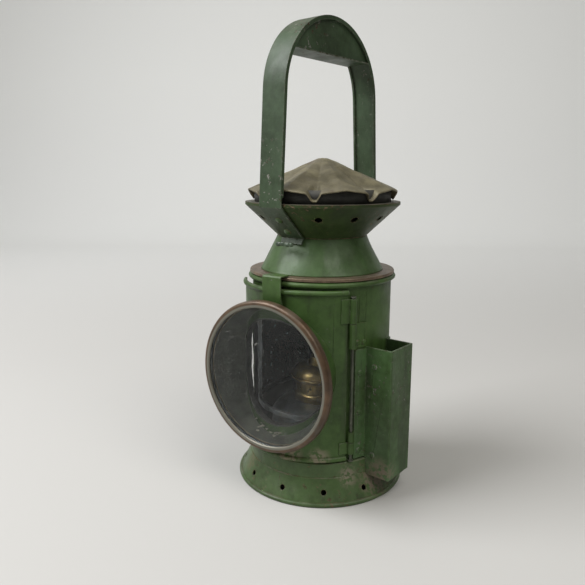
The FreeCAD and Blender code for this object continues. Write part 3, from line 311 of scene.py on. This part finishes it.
# %% Rubbed copper-brown metal
def rubbed_metal(name, base, bright, left_over, left_amount=0.45, metal=0.55, rough=0.42, dents=0.5,
                 core=None):
    """Metal rubbed bright on its crests, with paint in patches; core tints it near an axis."""
    material, tree, shader = new_material(name)
    tone = use(tree, blotches, Scale=120.0, Detail=7.0, Level=0.34, Softness=0.36)["Mask"]
    body = blend(tree, tone, colour(*[c * 0.55 for c in base]), colour(*base))
    if core:
        centre, axis, radius, tint = core
        place = add(tree, "TexCoord").outputs["Object"]
        spoke = add(tree, "VectorMath", {0: place, 1: centre}, operation="SUBTRACT").outputs[0]
        square = add(tree, "VectorMath", {0: spoke, 1: axis}, operation="CROSS_PRODUCT").outputs[0]
        reach = add(tree, "VectorMath", {0: square}, operation="LENGTH").outputs["Value"]
        body = blend(tree, between(tree, reach, radius + 0.4 * MM, radius - 0.4 * MM), body, colour(*tint))
    patch = use(tree, blotches, Scale=46.0, Detail=7.0, Level=0.56, Softness=0.12,
                Shift=(0.4, 0.8, 0.3))["Mask"]
    body = blend(tree, calc(tree, "MULTIPLY", patch, left_amount), body, colour(*left_over))
    crest = use(tree, edge_wear, Reach=0.0012, Grain=260.0, Softness=0.22)["Mask"]
    body = blend(tree, crest, body, colour(*bright))
    film = use(tree, settled_dust, Amount=0.35)["Mask"]
    body = blend(tree, film, body, colour(0.20, 0.18, 0.14))
    tree.links.new(body, shader.inputs["Base Color"])
    dull = calc(tree, "MAXIMUM", patch, film)
    shown = calc(tree, "SUBTRACT", 1.0, dull)
    tree.links.new(calc(tree, "MULTIPLY", shown, metal), shader.inputs["Metallic"])
    grain = use(tree, blotches, Scale=500.0, Detail=4.0)["Noise"]
    tree.links.new(calc(tree, "ADD", calc(tree, "MULTIPLY", grain, 0.3), rough - 0.12, clamp=True),
                   shader.inputs["Roughness"])
    height = use(tree, brushed_coat, Dents=dents, Brushing=0.04, Grit=0.05)["Height"]
    bump(tree, shader, height, 0.0016)
    return material


lens_low, lens_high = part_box("lens_glass")
LENS = (lens_low + lens_high) / 2
copper_ring = rubbed_metal("rubbed_copper", (0.110, 0.066, 0.036), (0.55, 0.40, 0.27), (0.040, 0.036, 0.020),
                           metal=0.35, rough=0.36, core=(LENS, LENS_AXIS, 47.4 * MM, (0.150, 0.145, 0.115)))
rim_metal = rubbed_metal("rubbed_rim", (0.210, 0.150, 0.098), (0.42, 0.31, 0.21), (0.050, 0.072, 0.036), 0.7)
hat_metal = rubbed_metal("rusted_hat", (0.215, 0.190, 0.112), (0.34, 0.28, 0.19), (0.060, 0.034, 0.018),
                         0.85, metal=0.30, rough=0.50, dents=1.2)
plate_metal = rubbed_metal("gallery_top", (0.155, 0.150, 0.120), (0.40, 0.38, 0.32), (0.055, 0.045, 0.028),
                           0.7, metal=0.30, rough=0.52)
tin = rubbed_metal("sooty_tin", (0.21, 0.225, 0.235), (0.42, 0.44, 0.45), (0.090, 0.075, 0.055),
                   0.6, metal=0.75, rough=0.42)
tube_inside = rubbed_metal("tube_lining", (0.110, 0.118, 0.090), (0.32, 0.32, 0.27), (0.060, 0.050, 0.034),
                           0.5, metal=0.15, rough=0.55)
brass = rubbed_metal("old_brass", (0.52, 0.37, 0.15), (0.90, 0.72, 0.38), (0.20, 0.13, 0.055),
                     0.6, metal=0.95, rough=0.34)
pin_steel = rubbed_metal("pin_steel", (0.10, 0.11, 0.08), (0.32, 0.31, 0.27), (0.040, 0.060, 0.030), 0.8)
solder = rubbed_metal("painted_solder", (0.060, 0.100, 0.056), (0.26, 0.25, 0.20), (0.030, 0.045, 0.022),
                      0.6, metal=0.15, rough=0.40, dents=1.2)
# One dark finish for the sooty insides, and painted shade on the ring under the hat.
soot_and_shade = rubbed_metal("soot_and_shade_lining", (0.055, 0.055, 0.048), (0.14, 0.14, 0.12), (0.022, 0.020, 0.014),
                    0.7, metal=0.20, rough=0.60)
print("metals made")


# %% Glass, wick and specks
def glass(name, tint, rough=0.02, specks=0.0):
    """Clear or coloured glass with a dirty film that blurs it in spots."""
    material, tree, shader = new_material(name)
    dirt = use(tree, blotches, Scale=260.0, Detail=7.0, Level=0.58, Softness=0.10)["Mask"]
    haze = use(tree, blotches, Scale=40.0, Detail=5.0, Level=0.40, Softness=0.40)["Mask"]
    body = blend(tree, calc(tree, "MULTIPLY", dirt, specks), colour(*tint), colour(0.10, 0.12, 0.11))
    tree.links.new(body, shader.inputs["Base Color"])
    blur = calc(tree, "ADD", calc(tree, "MULTIPLY", haze, 0.06), calc(tree, "MULTIPLY", dirt, specks * 0.5))
    tree.links.new(calc(tree, "ADD", blur, rough, clamp=True), shader.inputs["Roughness"])
    shader.inputs["Transmission Weight"].default_value = 1.0
    shader.inputs["IOR"].default_value = 1.48
    shader.inputs["Specular Tint"].default_value = colour(0.14, 0.15, 0.15)
    bump(tree, shader, use(tree, blotches, Scale=70.0, Detail=2.0)["Noise"], 0.0003, 0.5)
    return material


clear_glass = glass("clear_glass", (0.94, 0.96, 0.95))
green_glass = glass("green_glass", (0.030, 0.180, 0.190), 0.04, 0.5)
red_glass = glass("red_glass", (0.450, 0.020, 0.018), 0.04, 0.5)


def cotton():
    """Woven wick, scorched towards its burning end."""
    material, tree, shader = new_material("cotton_wick")
    place = add(tree, "TexCoord").outputs["Object"]
    height = add(tree, "SeparateXYZ", {0: place}).outputs["Z"]
    scorch = between(tree, height, 0.072, 0.0785)
    weave = use(tree, blotches, Scale=1400.0, Detail=2.0, Level=0.4, Softness=0.2)["Mask"]
    cloth = blend(tree, weave, colour(0.42, 0.37, 0.28), colour(0.62, 0.57, 0.46))
    tree.links.new(blend(tree, scorch, cloth, colour(0.02, 0.018, 0.015)), shader.inputs["Base Color"])
    shader.inputs["Roughness"].default_value = 0.9
    bump(tree, shader, weave, 0.0003)
    return material


wick_cloth = cotton()
print("glass and wick made")

# %% [markdown]
# ## Dressing the frame's pieces
# A frame piece keeps its own triangles.  Two live modifiers finish it: Weld joins its loose triangles,
# and Bevel rounds each sharp corner by a quarter of a millimetre so that edges catch the light the way
# folded, painted sheet does.  Weighted smooth shading then keeps curved sheet free of facets.

# %% Which finish each piece takes
FINISH = {
    wall_paint: "body_shell body_top_bead hinge_leaf_upper hinge_leaf_lower hinge_rivets",
    door_paint: "door_panel door_top_bead door_bottom_bead door_leaf_upper door_leaf_lower catch_strap "
                "lens_tube",
    foot_paint: "foot_ring",
    socket_paint: "lamp_iron_socket socket_rivets socket_side_rivets",
    gallery_shaded_paint: "gallery",
    handle_paint: "handle_strap grip_plate_right grip_plate_left grip_base",
    # The handle rivets wear the hood's lighter enamel instead of the handle's: a painted highlight on their
    # heads.
    hood_paint: "hood_cone handle_rivets",
    copper_ring: "lens_bezel",
    rim_metal: "rim_flange",
    plate_metal: "gallery_plate",
    hat_metal: "hat",
    tin: "body_floor lamp_seat oil_font cage_sleeve chimney cage_upper_ring cage_lower_ring cage_rail_1 "
         "cage_rail_2 cage_rail_3 cage_rail_4 blank_panel lens_retainer",
    soot_and_shade: "lens_collar",
    brass: "burner_collar burner_body burner_dome wick_tube wick_winder winder_knob",
    pin_steel: "hinge_pin",
    clear_glass: "lens_glass",
    green_glass: "green_glass",
    red_glass: "red_glass",
    wick_cloth: "wick",
}


def dress(node, material, bevel=0.25 * MM, segments=2):
    """Give a frame piece its finish, a small bevel and smooth shading."""
    piece = NODES[node]
    piece.data.materials.clear()
    piece.data.materials.append(material)
    piece.modifiers.new("join", "WELD").merge_threshold = 1e-6
    edge = piece.modifiers.new("soften", "BEVEL")
    edge.width = bevel
    edge.segments = segments
    edge.limit_method = "ANGLE"
    edge.angle_limit = math.radians(38)
    edge.use_clamp_overlap = True
    piece.data.polygons.foreach_set("use_smooth", np.ones(len(piece.data.polygons), bool))
    piece.modifiers.new("shade", "WEIGHTED_NORMAL").keep_sharp = True


def line_inside(node, material, centre, axis):
    """Give the faces that look in towards an axis a second finish."""
    piece = NODES[node]
    piece.data.materials.append(material)
    count = len(piece.data.polygons)
    middle, normal = np.empty(count * 3), np.empty(count * 3)
    piece.data.polygons.foreach_get("center", middle)
    piece.data.polygons.foreach_get("normal", normal)
    middle, normal = middle.reshape(-1, 3) - np.array(centre), normal.reshape(-1, 3)
    along = np.array(axis) / np.linalg.norm(axis)
    outward = middle - (middle @ along)[:, None] * along
    inward = (outward * normal).sum(1) < -0.2 * np.linalg.norm(outward, axis=1)
    piece.data.polygons.foreach_set("material_index", inward.astype(np.int32))
    return int(inward.sum())


for finish, names in FINISH.items():
    for node in names.split():
        dress(node, finish)
LININGS = {"body_shell": soot_and_shade, "door_panel": soot_and_shade, "gallery": plate_metal, "foot_ring": soot_and_shade}
for node, lining in LININGS.items():
    print(node, "lined:", line_inside(node, lining, (0, 0, 0), (0, 0, 1)))
print("lens tube lined:", line_inside("lens_tube", tube_inside, LENS, LENS_AXIS))
print("dressed:", sum(len(names.split()) for names in FINISH.values()), "of", len(NODES))

# %% [markdown]
# ## Surfaces from arrays
# The new sheets are grids: a whole array of points from two parameters, joined into quads by index
# arithmetic.  A closed loop of points round a profile, carried round the lamp, makes a solid wall of
# sheet.  The knocks are a sum of a few seeded waves, so every run gives the same lamp.


# %% Grid and noise
def grid_object(name, points, material, body):
    """Join a (rows, columns, 3) array into quads; both directions close on themselves."""
    rows, columns = points.shape[:2]
    index = np.arange(rows * columns).reshape(rows, columns)
    right, down = np.roll(index, -1, 1), np.roll(index, -1, 0)
    corner = np.roll(down, -1, 1)
    quads = np.stack([index, right, corner, down], -1).reshape(-1, 4)
    flat = points.reshape(-1, 3)
    a, b, c = flat[quads[:, 0]], flat[quads[:, 1]], flat[quads[:, 2]]
    if (a * np.cross(b, c)).sum() < 0:
        quads = quads[:, ::-1]
    mesh = bpy.data.meshes.new(name)
    mesh.from_pydata(flat.tolist(), [], quads.tolist())
    mesh.validate()
    mesh.polygons.foreach_set("use_smooth", np.ones(len(mesh.polygons), bool))
    mesh.materials.append(material)
    piece = bpy.data.objects.new(name, mesh)
    bpy.context.scene.collection.objects.link(piece)
    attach(piece, body)
    return piece


def waves(points, seed, length, count=9):
    """Gentle noise from -1 to 1: the mean of sine waves with random directions and starts."""
    random = np.random.default_rng(seed)
    across = random.normal(size=(count, 3))
    across /= np.linalg.norm(across, axis=1)[:, None]
    across *= (2 * math.pi / length) * random.uniform(0.6, 1.6, (count, 1))
    start = random.uniform(0, 2 * math.pi, count)
    return np.sin(points @ across.T + start).sum(-1) / math.sqrt(count) * 0.7


print("grid helpers ready")


# %% [markdown]
# ## The pleated hat
# The hat is one disc of sheet folded into eight flat arches with a pinched foot between each pair.
# Its height is a plain cone, minus a fold: nothing near the apex, and the full drop at the feet.  The
# fold widens outwards, so each valley is a narrow triangle, and a crease runs up from each foot.
# Its surface is crumpled by a few waves.


# %% Hat sheet
def hat_sheet():
    """Cone height minus a fold that deepens with radius and is widest at the rim."""
    low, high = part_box("hat")
    foot_top, apex = low.z + 0.8 * MM, high.z
    edge = high.x
    tip, flute, foot_r = 3.0 * MM, 6.0 * MM, edge - 2.8 * MM
    rise, feet, first = 8.2 * MM, 8, math.radians(31.0)
    foot_half, fold_half = math.radians(1.9), math.radians(5.2)
    crease, rim_crease = 5.6 * MM, 2.6 * MM
    turn = np.linspace(0, 2 * math.pi, 8 * 36, endpoint=False)
    out = np.linspace(0.0, 1.0, 60) ** 0.9
    share = (turn - first) / (2 * math.pi) * feet
    off = np.abs(share - np.round(share)) * 2 * math.pi / feet
    rim = foot_r + (edge - foot_r) * np.clip((off - foot_half) / math.radians(3.1), 0, 1)
    r = 0.2 * MM + (rim[None, :] - 0.2 * MM) * out[:, None]
    slope = (apex - foot_top - rise) / (edge - tip)
    cone = apex - slope * np.maximum(r - tip, 0.0)
    deep = np.clip((r - flute) / (foot_r - flute), 0, 1)
    inner, outer = foot_half * deep, fold_half * deep + 1e-6
    fold = np.clip((outer - off[None, :]) / np.maximum(outer - inner, 1e-6), 0, 1)
    facet = np.clip(1 - off[None, :] / (math.pi / feet), 0, 1) * deep
    near_rim = np.clip((deep - 0.72) / 0.28, 0, 1)
    z = cone - facet * crease * (1 - near_rim) - fold * rise * near_rim
    z = z - facet * rim_crease * near_rim * (1 - fold)
    place = np.stack([r * np.sin(turn), -r * np.cos(turn), z], -1)
    knock = waves(place, 4, 0.020) * 0.45 * MM + waves(place, 9, 0.009) * 0.16 * MM
    place[..., 2] += knock * np.sin(math.pi * np.clip(out, 0, 1))[:, None] ** 0.5
    place[..., 2] = np.clip(place[..., 2], foot_top, apex)
    under = place.copy()
    under[..., 2] -= 0.8 * MM
    under[:, :, :2] *= (1 - 0.004 * out[:, None, None])
    loop = np.concatenate([place, under[::-1]], 0)
    return grid_object("hat_sheet", loop, hat_metal, "top")


hat = hat_sheet()
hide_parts("hat")
print("hat:", len(hat.data.polygons), "quads")

# %% [markdown]
# ## A dark ring under the hat
# Under the hat a black ring of painted shade stands behind the arches, so they open onto darkness.  It is a
# rectangle of profile points turned round the lamp, standing on the gallery's inner plate.


# %% Shade ring under the hat
def under_hat_shade():
    """Four corners of the sheet's section, turned round the lamp."""
    plate_top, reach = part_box("gallery_plate")[1].z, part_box("gallery_plate")[1].x
    outer, rise, sheet = reach - 5.5 * MM, 8.6 * MM, 0.8 * MM
    turn = np.linspace(0, 2 * math.pi, 160, endpoint=False)
    r = np.array([outer, outer, outer - sheet, outer - sheet])[:, None]
    z = plate_top + np.array([0.1 * MM, rise, rise, 0.1 * MM])[:, None]
    place = np.stack([r * np.sin(turn), -r * np.cos(turn), z + 0 * turn], -1)
    # Its dark finish is painted shade: the ring stands dark behind the hat's arches.
    return grid_object("under_hat_shade", place, soot_and_shade, "top")


shade_ring = under_hat_shade()
print("baffle:", len(shade_ring.data.polygons), "quads")

# %% [markdown]
# ## The dented hood
# The cone below the gallery is where the lamp was dropped and straightened: broad shallow dents that
# bend its highlight.  It is a loop of profile points (outside up, inside down) turned round the lamp,
# with the waves pushing each column in or out and fading to nothing at both soldered ends.


# %% Hood sheet
def hood_sheet():
    """Radius runs straight from foot to neck, plus dents that fade at both ends."""
    low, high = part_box("hood_cone")
    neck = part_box("gallery")[0]
    r0 = high.x
    r1 = r0 - 11.4 * MM
    up = np.linspace(0, 1, 34)
    turn = np.linspace(0, 2 * math.pi, 200, endpoint=False)
    z = low.z + (high.z - low.z) * up
    r = r0 + (r1 - r0) * up
    place = np.stack([r[:, None] * np.sin(turn), -r[:, None] * np.cos(turn), z[:, None] + 0 * turn], -1)
    dent = waves(place, 21, 0.046) * 0.55 * MM + waves(place, 5, 0.016) * 0.14 * MM
    dent = -np.abs(dent) * np.sin(math.pi * up)[:, None] ** 0.6
    place[..., :2] *= (1 + dent / r[:, None])[..., None]
    inside = place.copy()
    inside[..., :2] *= (1 - 0.85 * MM / r)[:, None, None]
    loop = np.concatenate([place, inside[::-1]], 0)
    print("hood rises to", round(high.z, 4), "and the gallery starts at", round(neck.z, 4))
    return grid_object("hood_sheet", loop, hood_paint, "top")


hood = hood_sheet()
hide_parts("hood_cone")

# %% [markdown]
# ## Closed sheets and lumps
# Two more ways to close a grid.  A *leaf* is a front grid and a back grid joined round their border: dust
# films and scrapes.  A *lump* is a stack of rings with a point at each end: solder and flakes.


# %% Leaf and lump
def mesh_object(name, points, faces, material, body):
    """A smooth mesh from arrays, riding on a body."""
    mesh = bpy.data.meshes.new(name)
    mesh.from_pydata(points.tolist(), [], faces)
    mesh.validate()
    mesh.polygons.foreach_set("use_smooth", np.ones(len(mesh.polygons), bool))
    mesh.materials.append(material)
    piece = bpy.data.objects.new(name, mesh)
    bpy.context.scene.collection.objects.link(piece)
    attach(piece, body)
    return piece


def leaf(name, front, back, material, body):
    """Front quads, back quads turned over, and a strip of quads round the border."""
    rows, columns = front.shape[:2]
    index = np.arange(rows * columns).reshape(rows, columns)
    quads = np.stack([index[:-1, :-1], index[:-1, 1:], index[1:, 1:], index[1:, :-1]], -1).reshape(-1, 4)
    border = np.concatenate([index[0, :], index[1:, -1], index[-1, -2::-1], index[-2:0:-1, 0]])
    ahead, shift = np.roll(border, -1), rows * columns
    sides = np.stack([ahead, border, border + shift, ahead + shift], -1)
    faces = np.concatenate([quads, quads[:, ::-1] + shift, sides])
    points = np.concatenate([front.reshape(-1, 3), back.reshape(-1, 3)])
    return mesh_object(name, points, faces.tolist(), material, body)


def lump(name, centres, half_sizes, turns, material, body, roughness=0.25, seed=1, rings=9, around=14):
    """Squashed balls: rings of a sphere scaled to half sizes, turned, and pushed about by waves."""
    tilt = np.linspace(0, math.pi, rings + 2)[1:-1]
    turn = np.linspace(0, 2 * math.pi, around, endpoint=False)
    ball = np.stack([np.sin(tilt)[:, None] * np.cos(turn), np.sin(tilt)[:, None] * np.sin(turn),
                     np.cos(tilt)[:, None] + 0 * turn], -1).reshape(-1, 3)
    ball = np.concatenate([ball, [[0, 0, 1.0], [0, 0, -1.0]]])
    index = np.arange(rings * around).reshape(rings, around)
    beside = np.roll(index, -1, 1)
    quads = np.stack([index[:-1], index[1:], beside[1:], beside[:-1]], -1).reshape(-1, 4)
    top, bottom = rings * around, rings * around + 1
    top_fan = np.stack([np.full(around, top), index[0], beside[0]], -1)
    low_fan = np.stack([np.full(around, bottom), beside[-1], index[-1]], -1)
    points, faces = [], []
    for number, (centre, half, frame_of) in enumerate(zip(centres, half_sizes, turns)):
        push = 1 + roughness * waves(ball + 3.1 * number, seed + number, 1.6)[:, None]
        points.append(np.array(centre) + (ball * push * np.array(half)) @ np.array(frame_of))
        shift = number * len(ball)
        faces += (quads + shift).tolist() + (top_fan + shift).tolist() + (low_fan + shift).tolist()
    return mesh_object(name, np.concatenate(points), faces, material, body)


UPRIGHT = np.eye(3)
print("leaf and lump ready")

# %% [markdown]
# ## Solder at the handle's feet
# Each end of the strap is run over with solder where it meets the hood, then painted: a low uneven
# bead along the strap's end.

# %% Solder beads
strap_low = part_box("handle_strap")[0]
hood_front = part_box("chimney")[0].y - 3.2 * MM
foot_line = strap_low.z + 0.6 * MM
bead_spots = [(x, side * (hood_front - 0.6 * MM), foot_line + 0.3 * MM * (i % 2))
              for side in (1, -1) for i, x in enumerate((-4.6 * MM, -1.2 * MM, 2.4 * MM, 5.8 * MM))]
bead_sizes = [(2.5 * MM, 0.8 * MM, 1.4 * MM)] * len(bead_spots)
beads = lump("strap_solder", bead_spots, bead_sizes, [UPRIGHT] * len(bead_spots), solder, "top", 0.3, 11)
print("solder beads:", len(bead_spots))

# %% [markdown]
# ## Dust and flakes
# Old glass is never clear: a film of dust with specks, thicker at the bottom of the lens.  It is a thin
# leaf just in front of the glass, whose alpha is nothing but noise, so the glass stays glass.  Flakes of
# old paint have dropped inside the lens tube.


# %% Dust film
def dust_film(name, haze, specks, low, high, tint=(0.50, 0.50, 0.46)):
    """Matt dust with alpha from specks and a haze that thickens downwards between two heights."""
    material, tree, shader = new_material(name)
    shader.inputs["Base Color"].default_value = colour(*tint)
    shader.inputs["Roughness"].default_value = 0.9
    place = add(tree, "TexCoord").outputs["Object"]
    height = add(tree, "SeparateXYZ", {0: place}).outputs["Z"]
    sunk = between(tree, height, high, low, 0.25, 1.0)
    cloud = use(tree, blotches, Scale=34.0, Detail=6.0, Level=0.30, Softness=0.45)["Mask"]
    spots = use(tree, blotches, Scale=900.0, Detail=3.0, Level=0.62, Softness=0.05)["Mask"]
    crumbs = use(tree, blotches, Scale=330.0, Detail=4.0, Level=0.66, Softness=0.03,
                 Shift=(0.7, 0.2, 0.9))["Mask"]
    cover = calc(tree, "MULTIPLY", calc(tree, "MULTIPLY", cloud, sunk), haze)
    cover = calc(tree, "MAXIMUM", cover, calc(tree, "MULTIPLY", calc(tree, "MAXIMUM", spots, crumbs), specks))
    tree.links.new(cover, shader.inputs["Alpha"])
    return material


SIDE = np.array([math.cos(AJAR), math.sin(AJAR), 0.0])
OUT = np.array(LENS_AXIS)
UP = np.array([0.0, 0.0, 1.0])
lens_dust = dust_film("lens_dust", 0.02, 0.16, LENS.z - 0.045, LENS.z)
pane_dust = dust_film("pane_dust", 0.03, 0.40, 0.055, 0.140, (0.30, 0.40, 0.40))


def lens_film():
    """Polar grid: radius times the side and up directions, set just ahead of the glass."""
    radius = np.linspace(0.0, 45.2 * MM, 14)[:, None]
    turn = np.linspace(0, 2 * math.pi, 65)[None, :]
    face = np.array(LENS) + OUT * 1.32 * MM
    front = face + (radius * np.cos(turn))[..., None] * SIDE + (radius * np.sin(turn))[..., None] * UP
    return leaf("lens_film", front, front - OUT * 0.02 * MM, lens_dust, "door")


def pane_film():
    """Part of a cylinder just inside the green glass."""
    low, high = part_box("green_glass")
    turn = np.radians(np.linspace(-131.0, -49.0, 40))[None, :]
    rise = np.linspace(low.z + 1 * MM, high.z - 1 * MM, 12)[:, None]
    inner = -low.x - 1.6 * MM - 0.06 * MM
    ring = np.stack([np.sin(turn) + 0 * rise, -np.cos(turn) + 0 * rise, 0 * turn + 0 * rise], -1)
    height = np.stack([0 * turn + 0 * rise, 0 * turn + 0 * rise, rise + 0 * turn], -1)
    return leaf("pane_film", ring * inner + height, ring * (inner - 0.03 * MM) + height, pane_dust, "top")


for film in (lens_film(), pane_film()):
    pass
print("films laid")


# %% Flakes in the lens tube
flake_paint = rubbed_metal("paint_flakes", (0.46, 0.42, 0.33), (0.6, 0.55, 0.44), (0.20, 0.16, 0.09),
                           0.5, metal=0.05, rough=0.6)
random = np.random.default_rng(7)
COUNT = 13
down = np.radians(random.uniform(-24, 12, COUNT))
depth = random.uniform(6.0, 13.0, COUNT) * MM
tube_r = 44.6 * MM - depth * 0.381
spots = (np.array(LENS) - OUT * depth[:, None] + SIDE * (tube_r * np.sin(down))[:, None]
         - UP * (tube_r * np.cos(down) - 0.5 * MM)[:, None])
sizes = np.stack([random.uniform(0.8, 2.4, COUNT), random.uniform(0.5, 1.2, COUNT), np.full(COUNT, 0.22)], -1)
sizes *= MM
yaw = random.uniform(0, math.pi, COUNT)
zero, one = np.zeros(COUNT), np.ones(COUNT)
spun = np.stack([np.cos(yaw), np.sin(yaw), zero, -np.sin(yaw), np.cos(yaw), zero, zero, zero, one], -1)
flakes = lump("fallen_flakes", spots, sizes, spun.reshape(-1, 3, 3), flake_paint, "door", 0.5, 31, 5, 8)
print("flakes:", COUNT)


# %% Scrape on the lens tube
def tube_scrape():
    """A thin strip along the outside of the cone: cone radius at each depth, at a slowly turning angle."""
    along = np.linspace(0, 1, 30)[:, None]
    across = np.linspace(-0.5, 0.5, 4)[None, :]
    width = 0.9 * np.sin(math.pi * along) ** 0.5 + 0.05
    depth = (5.0 + 4.5 * np.sin(math.pi * along * 0.9) + across * width) * MM
    turn = np.radians(24.0 - 44.0 * along + 0 * across)
    radius = 45.4 * MM - (depth - 4.9 * MM) * 0.381 + 0.98 * MM
    ring = np.cos(turn)[..., None] * SIDE + np.sin(turn)[..., None] * UP
    front = np.array(LENS) - OUT * depth[..., None] + ring * radius[..., None]
    return leaf("tube_scrape", front, front - ring * 0.06 * MM, flake_paint, "door")


scrape = tube_scrape()
print("scrape added")

# %% [markdown]
# ## Stage, light and camera
# A plain pale floor and sweep that pales towards its back, a broad soft light from high on the left as
# from a window, a weaker one from above on the right, and the camera at eye height in front of the
# lens's right shoulder.

# %% Floor and backdrop
VIEW = math.radians(37.0)
RIGHT = Vector((math.cos(VIEW), math.sin(VIEW), 0.0))
AHEAD = Vector((-math.sin(VIEW), math.cos(VIEW), 0.0))


def stage_sheet():
    """A floor that curls up into a wall behind: a profile of floor, quarter turn and wall."""
    bend = np.linspace(0, math.pi / 2, 24)
    far, radius, height = 1.3, 0.5, 2.2
    run = np.concatenate([[-3.0], far + radius * np.sin(bend), [far + radius]])
    rise = np.concatenate([[0.0], radius * (1 - np.cos(bend)), [height]])
    side = np.array([-4.0, 4.0])
    right = np.array([math.cos(VIEW), math.sin(VIEW)])
    ahead = np.array([-math.sin(VIEW), math.cos(VIEW)])
    flat = right * side[None, :, None] + ahead * run[:, None, None]
    points = np.concatenate([flat, np.repeat(rise[:, None, None], 2, 1)], -1)
    index = np.arange(points.shape[0] * 2).reshape(-1, 2)
    quads = np.stack([index[:-1, 0], index[:-1, 1], index[1:, 1], index[1:, 0]], -1)
    mesh = bpy.data.meshes.new("floor")
    mesh.from_pydata(points.reshape(-1, 3).tolist(), [], quads.tolist())
    mesh.polygons.foreach_set("use_smooth", np.ones(len(mesh.polygons), bool))
    floor = bpy.data.objects.new("floor", mesh)
    bpy.context.scene.collection.objects.link(floor)
    material, tree, shader = new_material("floor_paper")
    ahead_of = add(tree, "VectorMath", {0: add(tree, "TexCoord").outputs["Object"], 1: (*ahead, 0.0)},
                   operation="DOT_PRODUCT").outputs["Value"]
    paper = blend(tree, between(tree, ahead_of, 0.2, 1.5), colour(0.50, 0.49, 0.47), colour(0.92, 0.92, 0.90))
    tree.links.new(paper, shader.inputs["Base Color"])
    shader.inputs["Roughness"].default_value = 0.85
    mesh.materials.append(material)
    return floor


stage_sheet()


# %% Lights

def lamp(name, right, ahead, up, size, power, tint=(1.0, 1.0, 1.0)):
    """A soft square light aimed at the middle of the lamp, placed in the camera's own directions."""
    data = bpy.data.lights.new(name, "AREA")
    data.shape = "RECTANGLE"
    data.size, data.size_y = size
    data.energy = power
    data.color = tint
    light = bpy.data.objects.new(name, data)
    where = RIGHT * right + AHEAD * ahead + Vector((0, 0, up))
    aim = (Vector((0, 0, 0.14)) - where).to_track_quat("-Z", "Y")
    light.matrix_world = Matrix.Translation(where) @ aim.to_matrix().to_4x4()
    bpy.context.scene.collection.objects.link(light)


lamp("window", -0.95, -0.25, 1.20, (0.9, 1.0), 27.0, (0.97, 0.98, 1.0))
lamp("room", 0.55, -0.75, 1.50, (1.0, 1.0), 13.0, (1.0, 0.98, 0.93))


def room_air():
    """Pale for the camera, dark through glass; in reflections pale behind and left, dim in front."""
    world = bpy.data.worlds.new("room_air")
    bpy.context.scene.world = world
    world.use_nodes = True
    air = world.node_tree
    path = add(air, "LightPath").outputs
    way = add(air, "TexCoord").outputs["Generated"]
    bright_side = (AHEAD * 0.65 - RIGHT * 0.75).normalized()
    facing = add(air, "VectorMath", {0: way, 1: bright_side}, operation="DOT_PRODUCT").outputs["Value"]
    mirrored = between(air, facing, 0.05, 0.90, 0.05, 0.80)
    strength = calc(air, "MAXIMUM", calc(air, "MULTIPLY", path["Is Camera Ray"], 0.85),
                    calc(air, "MULTIPLY", path["Is Transmission Ray"], 0.10))
    strength = calc(air, "MAXIMUM", strength, calc(air, "MULTIPLY", path["Is Glossy Ray"], mirrored))
    strength = calc(air, "MAXIMUM", strength, calc(air, "MULTIPLY", path["Is Diffuse Ray"], 0.30))
    back = air.nodes["Background"]
    back.inputs["Color"].default_value = colour(0.80, 0.80, 0.78)
    air.links.new(strength, back.inputs["Strength"])


room_air()
bpy.context.scene.view_settings.view_transform = "Standard"
print("lights placed")

# %% Camera
CAMERA_BACK, CAMERA_UP = 0.4230, 0.2174
PITCH, YAW, ROLL = math.radians(11.41), math.radians(-2.77), math.radians(0.07)
camera_data = bpy.data.cameras.new("camera")
camera_data.lens, camera_data.sensor_width = 37.56, 36.0
camera_data.clip_start = 0.01
camera = bpy.data.objects.new("camera", camera_data)
bpy.context.scene.collection.objects.link(camera)
look = RIGHT * math.sin(YAW) * math.cos(PITCH) + AHEAD * math.cos(YAW) * math.cos(PITCH)
look += Vector((0, 0, -math.sin(PITCH)))
spin = look.to_track_quat("-Z", "Y").to_matrix().to_4x4() @ Matrix.Rotation(ROLL, 4, "Z")
camera.matrix_world = Matrix.Translation(-AHEAD * CAMERA_BACK + Vector((0, 0, CAMERA_UP))) @ spin
bpy.context.scene.camera = camera
print("camera at", [round(v, 4) for v in camera.matrix_world.translation])
